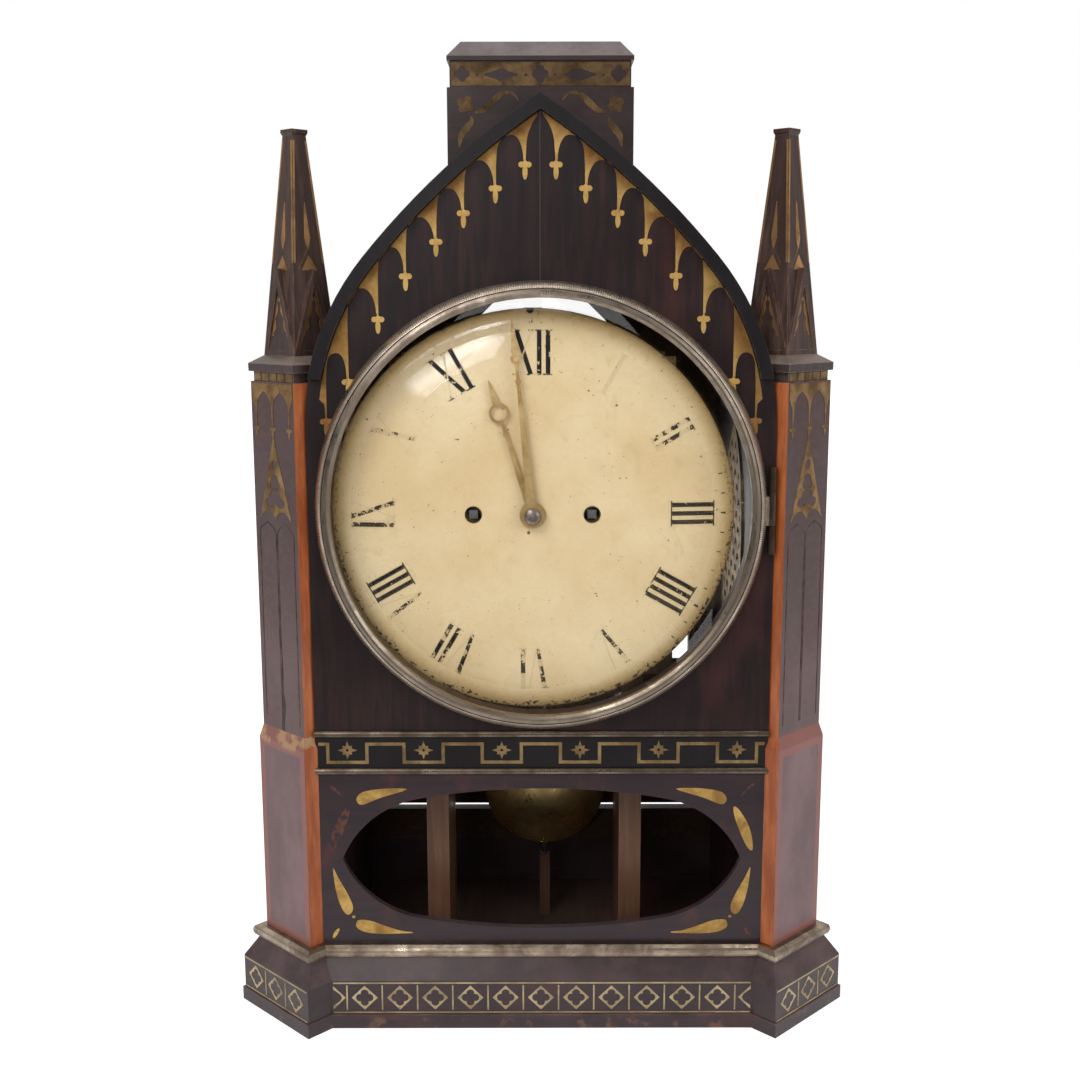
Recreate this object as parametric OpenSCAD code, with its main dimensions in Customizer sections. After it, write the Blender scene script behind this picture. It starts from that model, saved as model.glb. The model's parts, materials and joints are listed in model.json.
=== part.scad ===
/* [Case] */
// Width of the case over its sides
case_w = 234; // [230:1:240]
// Depth of the case from the face of the front panels to the back
case_d = 168; // [164:1:180]
// Height of the arch springing above the shelf
spring_h = 315; // [310:1:325]
// Radius of the lower arcs of the four-centred arch
haunch_r = 132; // [126:1:140]
// Angle that each lower arc turns through
haunch_turn = 40; // [37:0.5:43]
// Radius of the upper arcs of the arch
crown_r = 394; // [370:1:420]
// Thickness of the front panels
front_t = 8; // [7:0.5:9]
// Thickness of the sides
side_t = 8; // [6:0.5:9]
// Thickness of the roof boards
roof_t = 7; // [5:0.5:8]
// Thickness of the back frame and of the rear door
back_t = 8; // [7:0.5:9]
// Thickness of the floor board
floor_t = 8; // [6:0.5:10]
// Width of the raised rim round the arch
rim_w = 6.3; // [5:0.1:7.5]
// Height of the rim above the front panel
rim_t = 4; // [3:0.1:4.5]
// Height at which the rim meets the corner caps
rim_foot = 341; // [338:1:346]

/* [Plinth] */
// Height of the skirt at the foot
skirt_h = 7.3; // [5:0.1:9]
// Projection of the skirt beyond the inlaid band
skirt_out = 1.5; // [0.5:0.1:3]
// Height of the inlaid band
band_h = 18.7; // [16:0.1:22]
// Height of the sloped shoulder over the band
shoulder_h = 11; // [9:0.1:14]
// Projection of the band beyond the case
band_out = 8; // [6:0.1:10]
// Projection of the foot of the brass bead beyond the case
bead_foot_out = 3; // [2:0.1:4]
// Projection of the nose of the brass bead beyond the case
bead_out = 5.5; // [4.5:0.1:6.5]
// Height of the brass bead
bead_h = 7; // [5:0.1:8]
// Projection of the plinth beyond the back of the case
plinth_back = 2.5; // [2.5:0.1:5]

/* [Buttresses] */
// Distance of the corner axes outside the sides of the case
corner_out = 4.6; // [2:0.1:8]
// Distance of the corner axes behind the front face
corner_y = 22.5; // [21.5:0.1:23.5]
// Half diagonal of the plinth corner
plinth_corner_r = 41.5; // [38:0.1:45]
// Half diagonal of the lower buttress
lower_r = 28.4; // [27:0.1:30]
// Half diagonal of the upper buttress
upper_r = 26; // [25:0.1:26.8]
// Height at which the lower buttress starts to slope in
lower_top = 151; // [146:1:154]
// Height of that slope
weathering_h = 6.7; // [4:0.1:9]
// Height of the top of the upper buttress
upper_top = 339; // [332:1:340]
// Half diagonal of the neck under the cap
neck_r = 24.3; // [23:0.1:25]
// Height of the neck
neck_h = 5; // [3:0.1:6]
// Half diagonal of the cap
cap_r = 27; // [26:0.1:28]
// Height of the square edge of the cap
cap_edge_h = 4; // [3:0.1:5]
// Height of the slope on the cap
cap_slope_h = 4; // [3:0.1:6]
// Half diagonal of the pinnacle at its foot
spire_foot_r = 18.6; // [16:0.1:20]
// Half diagonal of the pinnacle under its tip
spire_tip_r = 5.8; // [5:0.1:6.5]
// Height of the tapered part of the pinnacle
spire_h = 107; // [98:1:112]
// Height of the small cap on the pinnacle
spire_cap_h = 3; // [2:0.2:4]
// Height of the gables round the foot of the pinnacle
gable_h = 43; // [36:1:48]
// Width of the mouldings on the gables
gable_rim = 2.6; // [1.6:0.1:3.2]
// Depth of the field between them
gable_deep = 1; // [0.5:0.1:1.6]

/* [Panels] */
// Height of the joint under the frieze panel
frieze_z = 139; // [136:0.5:141]
// Height of the frieze panel
frieze_h = 20; // [16:0.5:22]
// Radius of the half-round beads along the frieze
frieze_bead_r = 1.8; // [1.2:0.1:2.4]
// Half width of the pointed oval opening
oval_w = 104.3; // [100:0.1:106]
// Half height of that opening
oval_h = 38.7; // [34:0.1:41]
// Height of its middle above the shelf
oval_z = 90.7; // [89.5:0.1:91.5]
// Radius of its ends as a share of its half height
oval_end = 1.38; // [1.25:0.01:1.42]
// Thickness of the panel at the edge of the opening
oval_edge_t = 4; // [3:0.5:6]
// Width of the rebate behind that edge
oval_rebate = 4; // [2:0.5:5]
// Distance from the frieze up to the bezel
bezel_up = 3.3; // [2.8:0.1:5]
// Difference in radius between the panel's opening and the bezel's
dial_hole_out = 1; // [0.4:0.1:1.6]

/* [Pedestal] */
// Width of the pedestal on the arch
pedestal_w = 90; // [80:1:94]
// Depth of the pedestal
pedestal_d = 90; // [70:1:100]
// Distance of its face behind the front panel
pedestal_y = 8; // [4:0.5:14]
// Rise of the pedestal's block over the crown of the arch
pedestal_rise = 3.7; // [2:0.1:8]
// Height of its inset neck
pedestal_neck_h = 12.5; // [9:0.5:15]
// Inset of that neck
pedestal_neck_in = 1.3; // [0.8:0.1:3]
// Height of the square edge of its top
pedestal_edge_h = 2; // [1.5:0.1:4]
// Height of the hipped part of its top
pedestal_hip_h = 7.5; // [4:0.5:10]
// Inset of the hipped part at its top
pedestal_hip_in = 6.5; // [4:0.5:10]

/* [Rear door] */
// Half width of the door
door_w = 102; // [99:0.5:104]
// Height of the bottom edge of the door
door_z = 60.5; // [60:0.5:64]
// Height of the springing of its pointed head
door_spring = 230; // [220:1:240]
// Radius of the head
door_head_r = 210; // [190:1:240]
// Width of its stiles
stile_w = 9; // [8:0.5:12]
// Height of its bottom rail
rail_h = 15.5; // [12:0.5:20]
// Clearance round the door
door_gap = 0.7; // [0.5:0.1:1]
// Height of the slit under the door
door_slit = 4; // [3:0.1:4.5]
// Thickness of the door glass
door_glass_t = 2; // [1.5:0.1:2.5]
// Length of each rear hinge
rear_hinge_l = 30; // [24:1:36]
// Height of the lower rear hinge
rear_hinge_low = 95; // [85:1:110]
// Height of the upper rear hinge
rear_hinge_high = 205; // [180:1:215]

/* [Side frets] */
// Half width of each side opening
fret_w = 30; // [24:0.5:36]
// Height of its foot
fret_z = 200; // [190:1:210]
// Height of its springing
fret_spring = 255; // [240:1:260]
// Thickness of the pierced brass sheet
fret_t = 1.2; // [0.8:0.1:2]
// Pitch of the fish scales in the sheet
scale_pitch = 15; // [12:0.5:18]

/* [Bezel] */
// Distance from the bezel to the sides of the case
bezel_margin = 3.8; // [3.4:0.1:6]
// Width of the bezel's ring
bezel_w = 8.3; // [7.5:0.1:9]
// Distance that it stands out from the panel
bezel_t = 8; // [7:0.1:9]
// Gap between the bezel and the panel
bezel_gap = 0.3; // [0.2:0.05:0.5]
// Thickness of the bezel glass
glass_t = 1.8; // [1.2:0.1:2]
// Rise of the domed glass
glass_rise = 9; // [6:0.1:11]
// Height of the bezel hinge
bezel_hinge_h = 44; // [36:1:50]
// Radius of the bezel hinge knuckles
bezel_knuckle_r = 1.8; // [1.6:0.1:2]

/* [Dial and hands] */
// Distance of the dial middle to the right of the bezel middle
dial_shift_x = -4.2; // [-5:0.1:1]
// Distance of the dial middle above the bezel middle
dial_shift_z = -3.1; // [-4:0.1:1]
// Difference in radius between the bezel's opening and the dial
dial_in = 1.9; // [0.9:0.1:2.5]
// Distance of the dial edge behind the front face
dial_y = 14; // [13:0.1:14.5]
// Thickness of the dial sheet
dial_t = 1.2; // [1:0.1:1.5]
// Width of the dial's rolled edge
dial_roll_w = 11; // [8:0.5:14]
// Rise of the dome inside that radius
dial_rise = 6; // [4:0.1:6.5]
// Depth of the rolled edge
dial_roll = 3; // [2:0.1:3.5]
// Radius of the winding holes in the dial
wind_hole_r = 4.4; // [4:0.1:5]
// Thickness of the hands
hand_t = 0.8; // [0.6:0.1:1]
// Distance from the minute hand's tip to the edge of the dial
minute_short = 5; // [3:0.5:12]
// Distance from the hour hand's tip to the edge of the dial
hour_short = 32; // [26:0.5:38]
// Angle of the minute hand from twelve, clockwise
minute_at = -6; // [-180:1:180]
// Angle of the hour hand from twelve, clockwise
hour_at = -18; // [-180:1:180]
// Gap between the dial and the hour hand
hour_gap = 1.6; // [1.2:0.1:2]
// Gap between the two hands
hands_gap = 1.5; // [1:0.1:2]

/* [Movement frame] */
// Half width of the plates
plate_w = 74; // [73:0.5:76]
// Height of the plates above the dial middle
plate_up = 78; // [77:0.5:79]
// Depth of the plates below the dial middle
plate_down = 78; // [76:0.5:80]
// Thickness of the plates
plate_t = 3; // [2.5:0.1:3.5]
// Distance of the front plate behind the front face
plate_y = 34; // [33.8:0.1:34.4]
// Clear distance between the plates
plate_space = 60; // [59.5:0.1:61]
// Diameter of the plate pillars
pillar_d = 9; // [7:0.5:10]
// Thickness of the seatboard
seat_t = 12; // [9:0.5:14]
// Width of each seat post
post_w = 12; // [9:0.5:14]
// Depth of each seat post
post_d = 60; // [50:1:62]
// Distance between the middles of the seat posts
post_pitch = 105.3; // [100:0.5:110]

/* [Barrels and fusees] */
// Distance of the fusees from the dial middle
fusee_x = 30; // [29.9:0.05:30.2]
// Distance of the barrels from the middle of the movement
barrel_x = 46.5; // [46:0.5:48]
// Distance of the barrels below the middle of the movement
barrel_down = 47.5; // [46:0.5:49]
// Radius of the barrels
barrel_r = 22; // [20:0.5:23]
// Length of the barrels
barrel_l = 38; // [36:0.5:40]
// Radius of the fusee at its small end
fusee_small_r = 11; // [10:0.1:12]
// Radius of the fusee at its large end
fusee_large_r = 20; // [18:0.1:20.5]
// Turns of the groove on the fusee
fusee_turns = 14; // [10:1:14]
// Pitch of the groove
groove_pitch = 2.2; // [2.1:0.05:2.3]
// Depth of the groove
groove_deep = 0.7; // [0.4:0.05:0.8]
// Diameter of the gut lines
line_d = 1.5; // [1.2:0.05:1.6]
// Turns of line left on the fusee
fusee_line_turns = 4; // [2:1:6]
// Turns of line on the barrel
barrel_line_turns = 6; // [3:1:8]
// Width over the flats of the winding squares
square_w = 4.4; // [4:0.1:4.8]
// Diameter of the great arbors
great_d = 6; // [5:0.1:6.4]

/* [Wheels] */
// Thickness of the train wheels
wheel_t = 1.8; // [1.4:0.1:2]
// Diameter of the fine arbors
arbor_d = 1.8; // [1.6:0.1:2]
// Length of the pinions over the wheel that they meet
pinion_over = 0.8; // [0.4:0.1:1.2]
// Running clearance round arbors
arbor_gap = 0.05; // [0.03:0.01:0.08]

/* [Pendulum and bell] */
// Distance from the suspension to the middle of the bob
pendulum_l = 245; // [240:1:246]
// Radius of the bob
bob_r = 35.7; // [32:0.1:36]
// Thickness of the bob
bob_t = 20; // [14:0.5:22]
// Distance of the pendulum behind the back plate
pendulum_back = 12; // [11.5:0.1:13]
// Diameter of the pendulum rod
rod_d = 2.6; // [2:0.1:3]
// Side of the square post under the bob
rest_w = 6; // [4:0.5:8]
// Radius of the bell
bell_r = 42; // [38:0.5:43]
// Height of the bell
bell_h = 18; // [15:0.5:20]
// Thickness of the bell wall
bell_t = 1.8; // [1.2:0.1:2.2]

/* [Hidden] */
$fn = 96;

// Colours
rosewood = "#4a2019";
ebony = "#1c1512";
pine = "#7a5a3a";
brass = "#b98a3c";
bright_brass = "#d9b566";
steel = "#8d949c";
gilt = "#c8a04a";
cream = "#ece4d0";
gut = "#a9793f";
clear = [0.85, 0.92, 0.95, 0.35];

// Small allowances
cut = 1; // how far a cutting tool passes the face it cuts
reach = 2 * case_w; // longer than any part of the case
arc_steps = 12; // chords in each arc of an outline

// Levels and planes of the case, the front panels standing at y = 0
plinth_h = skirt_h + band_h + shoulder_h;
inner_w = case_w - 2 * side_t;
corner_x = case_w / 2 + corner_out;
back_y = case_d - back_t;
upper_foot = lower_top + weathering_h;
cap_z = upper_top + neck_h;
spire_z = cap_z + cap_edge_h + cap_slope_h;
foot_front = corner_y - plinth_corner_r - skirt_out;
mid_y = (foot_front + case_d + plinth_back) / 2;

// Centres of the arcs of the four-centred arch
haunch_x = case_w / 2 - haunch_r;
crown_x = haunch_x - (crown_r - haunch_r) * cos(haunch_turn);
crown_z = spring_h - (crown_r - haunch_r) * sin(haunch_turn);
pedestal_z = arch_height(0) + pedestal_rise;

// Bezel and dial, which follow the width of the case
bezel_r = case_w / 2 - bezel_margin;
bezel_z = frieze_z + frieze_h + bezel_up + bezel_r;
sight_r = bezel_r - bezel_w;
dial_hole_r = sight_r + dial_hole_out;
dial_r = sight_r - dial_in;
dial_roll_r = dial_r - dial_roll_w;
minute_l = dial_r - minute_short;
hour_l = dial_r - hour_short;

// Moves a piece from the case's own planes to the middle of the clock
module in_case() {
    translate([0, -mid_y, 0]) children();
}

// Stands an outline drawn in x and z upright, its face at y
module standing(y, depth) {
    translate([0, y + depth, 0]) rotate([90, 0, 0]) linear_extrude(depth) children();
}

// Stands an outline drawn in y and z along the side of the case
module sideways(x, depth) {
    translate([x, 0, 0]) rotate([90, 0, 90]) linear_extrude(depth) children();
}

function arc(x, z, r, from, to) = [
    for (i = [0 : arc_steps])
        let (a = from + (to - from) * i / arc_steps) [x + r * cos(a), z + r * sin(a)]
];

// Adds the left half of an outline to its right half, which ends at the apex
function mirrored(half) = concat(
    half, [for (i = [len(half) - 2 : -1 : 0]) [-half[i][0], half[i][1]]]
);

// Height of the arch's outer face at a distance from the middle
function arch_height(x) = crown_z + sqrt(crown_r * crown_r - (x - crown_x) * (x - crown_x));

module arch(inset, foot = plinth_h) {
    crown = arc(crown_x, crown_z, crown_r - inset, haunch_turn, acos(-crown_x / (crown_r - inset)));
    polygon(mirrored(concat(
        [[case_w / 2 - inset, foot]],
        arc(haunch_x, spring_h, haunch_r - inset, 0, haunch_turn),
        [for (i = [1 : arc_steps]) crown[i]]
    )));
}

module lancet(half_w, foot, spring, r) {
    polygon(mirrored(concat(
        [[half_w, foot]],
        arc(half_w - r, spring, r, 0, acos((r - half_w) / r))
    )));
}

module above(z) {
    translate([-reach, z]) square(2 * reach);
}

// The space that the case fills, from a plane in front of the panels back
module case_block(front = 0) {
    standing(-front, case_d + front) arch(0);
}

// Plan of the case as [left, right, front, back], grown outwards
function plan(out, back) = [-case_w / 2 - out, case_w / 2 + out, -out, case_d + back];

function plan_ring(p, z) = [[p[0], p[2], z], [p[1], p[2], z], [p[1], p[3], z], [p[0], p[3], z]];

module tapered_block(low, high, z, h) {
    polyhedron(
        points = concat(plan_ring(low, z), plan_ring(high, z + h)),
        faces = [[0, 1, 2, 3], [4, 5, 1, 0], [5, 6, 2, 1], [6, 7, 3, 2], [7, 4, 0, 3], [7, 6, 5, 4]]
    );
}

module straight_block(p, z, h) {
    translate([p[0], p[2], z]) cube([p[1] - p[0], p[3] - p[2], h]);
}

// A square pier set cornerwise on each front corner
module corner_piers(z, h, r, top_r) {
    for (side = [-1, 1])
        translate([side * corner_x, corner_y, z]) cylinder(h = h, r1 = r, r2 = top_r, $fn = 4);
}

// Half diagonal of a pier whose faces stand out by a distance
function grown(r, out) = r + out * sqrt(2);

module base_plinth() {
    color(rosewood) in_case() difference() {
        union() {
            straight_block(plan(band_out + skirt_out, plinth_back), 0, skirt_h);
            corner_piers(0, skirt_h, plinth_corner_r + skirt_out, plinth_corner_r + skirt_out);
            straight_block(plan(band_out, plinth_back), 0, skirt_h + band_h);
            corner_piers(0, skirt_h + band_h, plinth_corner_r, plinth_corner_r);
            tapered_block(plan(band_out, plinth_back), plan(bead_foot_out, plinth_back),
                skirt_h + band_h, shoulder_h);
            corner_piers(skirt_h + band_h, shoulder_h, plinth_corner_r, grown(lower_r, bead_foot_out));
        }
        translate([-inner_w / 2, front_t, -cut]) cube([inner_w, back_y - front_t, plinth_h + 2 * cut]);
    }
}

module floor_board() {
    color(pine) in_case()
        translate([-inner_w / 2, front_t, 0]) cube([inner_w, back_y - front_t, floor_t]);
}

// Projection of the plinth bead at a share of its height
function bead_at(t) = bead_foot_out + (bead_out - bead_foot_out) * sqrt(1 - pow(2 * t - 1, 2));

module brass_beads() {
    layers = 6;
    color(bright_brass) in_case() {
        difference() {
            for (i = [0 : layers - 1]) {
                z = plinth_h + bead_h * i / layers;
                low = bead_at(i / layers);
                high = bead_at((i + 1) / layers);
                tapered_block(plan(low, 0), plan(high, 0), z, bead_h / layers);
                corner_piers(z, bead_h / layers, grown(lower_r, low), grown(lower_r, high));
            }
            case_block();
            corner_piers(plinth_h - cut, bead_h + 2 * cut, lower_r, lower_r);
        }
        difference() {
            for (z = [frieze_z, frieze_z + frieze_h])
                translate([-corner_x, 0, z]) rotate([0, 90, 0]) cylinder(h = 2 * corner_x, r = frieze_bead_r);
            case_block();
            corner_piers(plinth_h, spire_z, lower_r, lower_r);
        }
    }
}

module side_panels() {
    color(rosewood) in_case() for (x = [-case_w / 2, inner_w / 2]) difference() {
        translate([x, front_t, plinth_h]) cube([side_t, back_y - front_t, spring_h - plinth_h]);
        translate([0, case_d / 2, 0]) sideways(x - cut, side_t + 2 * cut)
            lancet(fret_w, fret_z, fret_spring, 2 * fret_w);
    }
}

scale_share = 0.31; // radius of a scale as a share of the pitch

// One pierced fish scale
module scale_hole() {
    difference() {
        circle(scale_pitch * scale_share);
        translate([0, -scale_pitch * scale_share * 0.75]) circle(scale_pitch * scale_share);
    }
}

module side_frets() {
    border = 4;
    rows = ceil((fret_spring + 2 * fret_w - fret_z) / scale_pitch * 2);
    columns = ceil(fret_w / scale_pitch);
    color(brass) in_case() for (x = [-inner_w / 2, inner_w / 2 - fret_t])
        translate([0, case_d / 2, 0]) sideways(x, fret_t) difference() {
            lancet(fret_w + border, fret_z - border, fret_spring, 2 * fret_w + border);
            intersection() {
                lancet(fret_w, fret_z, fret_spring, 2 * fret_w);
                for (row = [0 : rows], column = [-columns : columns])
                    translate([
                        (column + (row % 2) / 2) * scale_pitch,
                        fret_z + row * scale_pitch / 2
                    ]) scale_hole();
            }
        }
}

module upper_front_panel() {
    color(rosewood) in_case() standing(0, front_t) difference() {
        arch(0, frieze_z + frieze_h);
        translate([0, bezel_z]) circle(dial_hole_r);
    }
}

module frieze_panel() {
    color(ebony) in_case()
        translate([-case_w / 2, 0, frieze_z]) cube([case_w, front_t, frieze_h]);
}

// Pointed oval, each quarter of which is a flat arc that runs into a tight one
oval_tip = 21.3; // slope of the end arc's radius at the point

module pointed_oval() {
    end_r = oval_end * oval_h;
    end_at = [oval_w - end_r * cos(oval_tip), -end_r * sin(oval_tip)];
    rise = oval_h - end_at[1];
    flat_arc_r = (end_at[0] * end_at[0] + rise * rise - end_r * end_r) / (2 * (rise - end_r));
    joint = atan2(end_at[1] - oval_h + flat_arc_r, end_at[0]);
    quarter = concat(
        [[0, 0]],
        [for (i = [0 : arc_steps]) let (a = 90 + (joint - 90) * i / arc_steps)
            [flat_arc_r * cos(a), oval_h - flat_arc_r + flat_arc_r * sin(a)]],
        [for (i = [1 : arc_steps]) let (a = joint + (oval_tip - joint) * i / arc_steps)
            end_at + end_r * [cos(a), sin(a)]]
    );
    translate([0, oval_z]) for (across = [0, 1], down = [0, 1])
        mirror([across, 0]) mirror([0, down]) polygon(quarter);
}

module lower_front_panel() {
    color(rosewood) in_case() difference() {
        standing(0, front_t) difference() {
            translate([-case_w / 2, plinth_h]) square([case_w, frieze_z - plinth_h]);
            pointed_oval();
        }
        standing(oval_edge_t, front_t) offset(delta = oval_rebate) pointed_oval();
    }
}

module arch_rim() {
    color(ebony) in_case() standing(-rim_t, rim_t) intersection() {
        difference() {
            arch(0);
            arch(rim_w);
        }
        above(rim_foot);
    }
}

module roof_boards() {
    color(rosewood) in_case() standing(front_t, back_y - front_t) intersection() {
        difference() {
            arch(0);
            arch(roof_t, 0);
        }
        above(spring_h);
    }
}

module lower_buttresses() {
    color(rosewood) in_case() difference() {
        union() {
            corner_piers(plinth_h, lower_top - plinth_h, lower_r, lower_r);
            corner_piers(lower_top, weathering_h, lower_r, upper_r);
        }
        case_block();
    }
}

module upper_buttresses() {
    color(ebony) in_case() difference() {
        corner_piers(upper_foot, upper_top - upper_foot, upper_r, upper_r);
        case_block();
    }
}

module buttress_caps() {
    color(ebony) in_case() difference() {
        union() {
            corner_piers(upper_top, neck_h, neck_r, neck_r);
            corner_piers(cap_z, cap_edge_h, cap_r, cap_r);
            corner_piers(cap_z + cap_edge_h, cap_slope_h, cap_r, spire_foot_r);
        }
        case_block(rim_t);
    }
}

// Two crossing gables, which show as one on each face of the pinnacle, their fields set back
spire_flare = 1.16; // spread of the plate on each pinnacle

module gable_shape(inset) {
    half = spire_foot_r / sqrt(2);
    offset(delta = -inset) polygon([[-half, 0], [half, 0], [0, gable_h]]);
}

module gables() {
    half = spire_foot_r / sqrt(2);
    for (turn = [45, 135]) rotate([0, 0, turn]) rotate([90, 0, 0]) {
        linear_extrude(2 * (half - gable_deep), center = true) gable_shape(0);
        linear_extrude(2 * half, center = true) difference() {
            gable_shape(0);
            gable_shape(gable_rim);
        }
    }
}

module pinnacles() {
    color(ebony) in_case() difference() {
        for (side = [-1, 1]) translate([side * corner_x, corner_y, spire_z]) {
            cylinder(h = spire_h, r1 = spire_foot_r, r2 = spire_tip_r, $fn = 4);
            translate([0, 0, spire_h]) {
                cylinder(h = spire_cap_h / 2, r1 = spire_tip_r, r2 = spire_tip_r * spire_flare, $fn = 4);
                translate([0, 0, spire_cap_h / 2])
                    cylinder(h = spire_cap_h / 2, r = spire_tip_r * spire_flare, $fn = 4);
            }
            gables();
        }
        case_block(rim_t);
    }
}

module pedestal() {
    foot = arch_height(pedestal_w / 2);
    eave_z = pedestal_z + pedestal_neck_h;
    block = [-pedestal_w / 2, pedestal_w / 2, pedestal_y, pedestal_y + pedestal_d];
    shrink = [1, -1, 1, -1];
    color(ebony) in_case() difference() {
        union() {
            straight_block(block, foot, pedestal_z - foot);
            straight_block(block + shrink * pedestal_neck_in, pedestal_z, pedestal_neck_h);
            straight_block(block, eave_z, pedestal_edge_h);
            tapered_block(block, block + shrink * pedestal_hip_in, eave_z + pedestal_edge_h, pedestal_hip_h);
        }
        case_block();
    }
}

// Axis of the rear hinges
rear_pin = [-door_w - door_gap / 2, case_d + 0.7];
rear_knuckle_r = 1.6;
rear_pin_r = 0.8;
rear_leaf_w = 9;
rear_leaf_t = 1;
hinge_play = 0.1; // end play between knuckles
knuckle_room = 0.25; // room round a knuckle let into the wood

module at_rear_hinges() {
    for (z = [rear_hinge_low, rear_hinge_high]) translate([rear_pin[0], rear_pin[1], z]) children();
}

module rear_hinge_groove() {
    at_rear_hinges() translate([0, 0, -hinge_play])
        cylinder(h = rear_hinge_l + 2 * hinge_play, r = rear_knuckle_r + knuckle_room);
}

// A hinge leaf on the side that `way` points to, with knuckles at the given thirds
module rear_leaf(way, thirds) {
    third = rear_hinge_l / 3;
    leaf_y = case_d - rear_pin[1];
    inner = rear_knuckle_r + knuckle_room;
    translate([way > 0 ? inner : -rear_leaf_w, leaf_y, 0]) cube([rear_leaf_w - inner, rear_leaf_t, rear_hinge_l]);
    for (k = thirds) translate([0, 0, k * third + hinge_play / 2]) {
        cylinder(h = third - hinge_play, r = rear_knuckle_r);
        translate([way > 0 ? 0 : -inner, leaf_y, 0]) cube([inner, rear_leaf_t, third - hinge_play]);
    }
}

latch_at = [door_w + door_gap + 7, 160];
latch_gap = 0.2;
latch_t = 1.8;
latch_shaft_r = 1.5;

module back_frame() {
    color(rosewood) in_case() difference() {
        standing(back_y, back_t) difference() {
            arch(0);
            lancet(door_w + door_gap, door_z - door_slit, door_spring, door_head_r + door_gap);
        }
        rear_hinge_groove();
        translate([latch_at[0], back_y - cut, latch_at[1]]) rotate([-90, 0, 0])
            cylinder(h = back_t + 2 * cut, r = latch_shaft_r + arbor_gap);
    }
}

glass_rebate = 3;

module rear_door_frame() {
    color(rosewood) in_case() difference() {
        standing(back_y, back_t) difference() {
            lancet(door_w, door_z, door_spring, door_head_r);
            lancet(door_w - stile_w, door_z + rail_h, door_spring, door_head_r - stile_w);
        }
        standing(back_y - cut, door_glass_t + cut) lancet(door_w - stile_w + glass_rebate,
            door_z + rail_h - glass_rebate, door_spring, door_head_r - stile_w + glass_rebate);
        rear_hinge_groove();
    }
}

module rear_door_glass() {
    color(clear) in_case() standing(back_y, door_glass_t) lancet(door_w - stile_w + glass_rebate,
        door_z + rail_h - glass_rebate, door_spring, door_head_r - stile_w + glass_rebate);
}

module rear_hinge_frame_leaves() {
    color(brass) in_case() at_rear_hinges() {
        rear_leaf(-1, [0, 2]);
        cylinder(h = rear_hinge_l, r = rear_pin_r);
    }
}

module rear_hinge_door_leaves() {
    color(brass) in_case() at_rear_hinges() difference() {
        rear_leaf(1, [1]);
        translate([0, 0, -cut]) cylinder(h = rear_hinge_l + 2 * cut, r = rear_pin_r + arbor_gap);
    }
}

module rear_door_latch() {
    color(brass) in_case() translate([latch_at[0], back_y, latch_at[1]]) rotate([-90, 0, 0]) {
        cylinder(h = back_t + latch_gap + latch_t, r = latch_shaft_r);
        translate([0, 0, back_t + latch_gap]) linear_extrude(latch_t) {
            circle(3.5);
            translate([-3, 0]) square([6, 13]);
            translate([0, 13]) circle(3);
        }
    }
}

// Bezel, hinged on the right
bezel_pin = [bezel_r + 2.2, -bezel_gap - bezel_knuckle_r - 0.5];
bezel_pin_r = 0.8;
glass_r = sight_r + 1.6; // radius of the glass in its rebate
lip_at = 3.4; // back of the front lip ahead of the back of the bezel
flat_r = sight_r + 1.5; // where the rounded face meets the inner bevel

module facing_front(y) {
    translate([0, y, bezel_z]) rotate([90, 0, 0]) children();
}

module at_bezel_hinge() {
    translate([bezel_pin[0], bezel_pin[1], bezel_z - bezel_hinge_h / 2]) children();
}

module bezel_ring() {
    third = bezel_hinge_h / 3;
    color(bright_brass) in_case() {
        facing_front(-bezel_gap) rotate_extrude() polygon(concat(
            [[glass_r, 0]],
            [for (a = [0 : 10 : 90]) [flat_r + (bezel_r - flat_r) * cos(a), bezel_t * sin(a)]],
            [[sight_r, bezel_t - 1.2], [sight_r, lip_at], [glass_r, lip_at]]
        ));
        difference() {
            at_bezel_hinge() translate([0, 0, third + hinge_play / 2]) {
                cylinder(h = third - hinge_play, r = bezel_knuckle_r);
                translate([bezel_r - 2 - bezel_pin[0], -bezel_knuckle_r, 0])
                    cube([bezel_pin[0] - bezel_r + 2, 2 * bezel_knuckle_r, third - hinge_play]);
            }
            at_bezel_hinge() cylinder(h = bezel_hinge_h, r = bezel_pin_r + arbor_gap);
        }
    }
}

module bezel_hinge() {
    third = bezel_hinge_h / 3;
    plate_t = bezel_gap + 0.3;
    color(bright_brass) in_case() {
        translate([bezel_r + 1, -plate_t, bezel_z - bezel_hinge_h / 2])
            cube([case_w / 2 - bezel_r - 1, plate_t, bezel_hinge_h]);
        at_bezel_hinge() {
            cylinder(h = bezel_hinge_h, r = bezel_pin_r);
            for (k = [0, 2]) translate([0, 0, k * third]) {
                cylinder(h = third - hinge_play / 2, r = bezel_knuckle_r);
                cube([bezel_knuckle_r, -bezel_pin[1], third - hinge_play / 2]);
            }
        }
    }
}

module bezel_glass() {
    seat = 0.2;
    edge_r = glass_r - seat;
    edge_at = lip_at - 0.4;
    dome_r = (edge_r * edge_r + glass_rise * glass_rise) / (2 * glass_rise);
    half_turn = asin(edge_r / dome_r);
    dome = [for (i = [0 : arc_steps]) let (a = half_turn * i / arc_steps)
        [dome_r * sin(a), edge_at + glass_rise - dome_r * (1 - cos(a))]];
    color(clear) in_case() facing_front(-bezel_gap) rotate_extrude() polygon(concat(
        dome, [for (i = [arc_steps : -1 : 0]) dome[i] - [0, glass_t]]
    ));
}

// Middle of the movement and the planes of its frame
centre_x = dial_shift_x;
centre_z = bezel_z + dial_shift_z;
inner_y = plate_y + plate_t;
rear_y = inner_y + plate_space;
plate_back = rear_y + plate_t;
great_arbor_r = great_d / 2;
arbor_r = arbor_d / 2;

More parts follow.
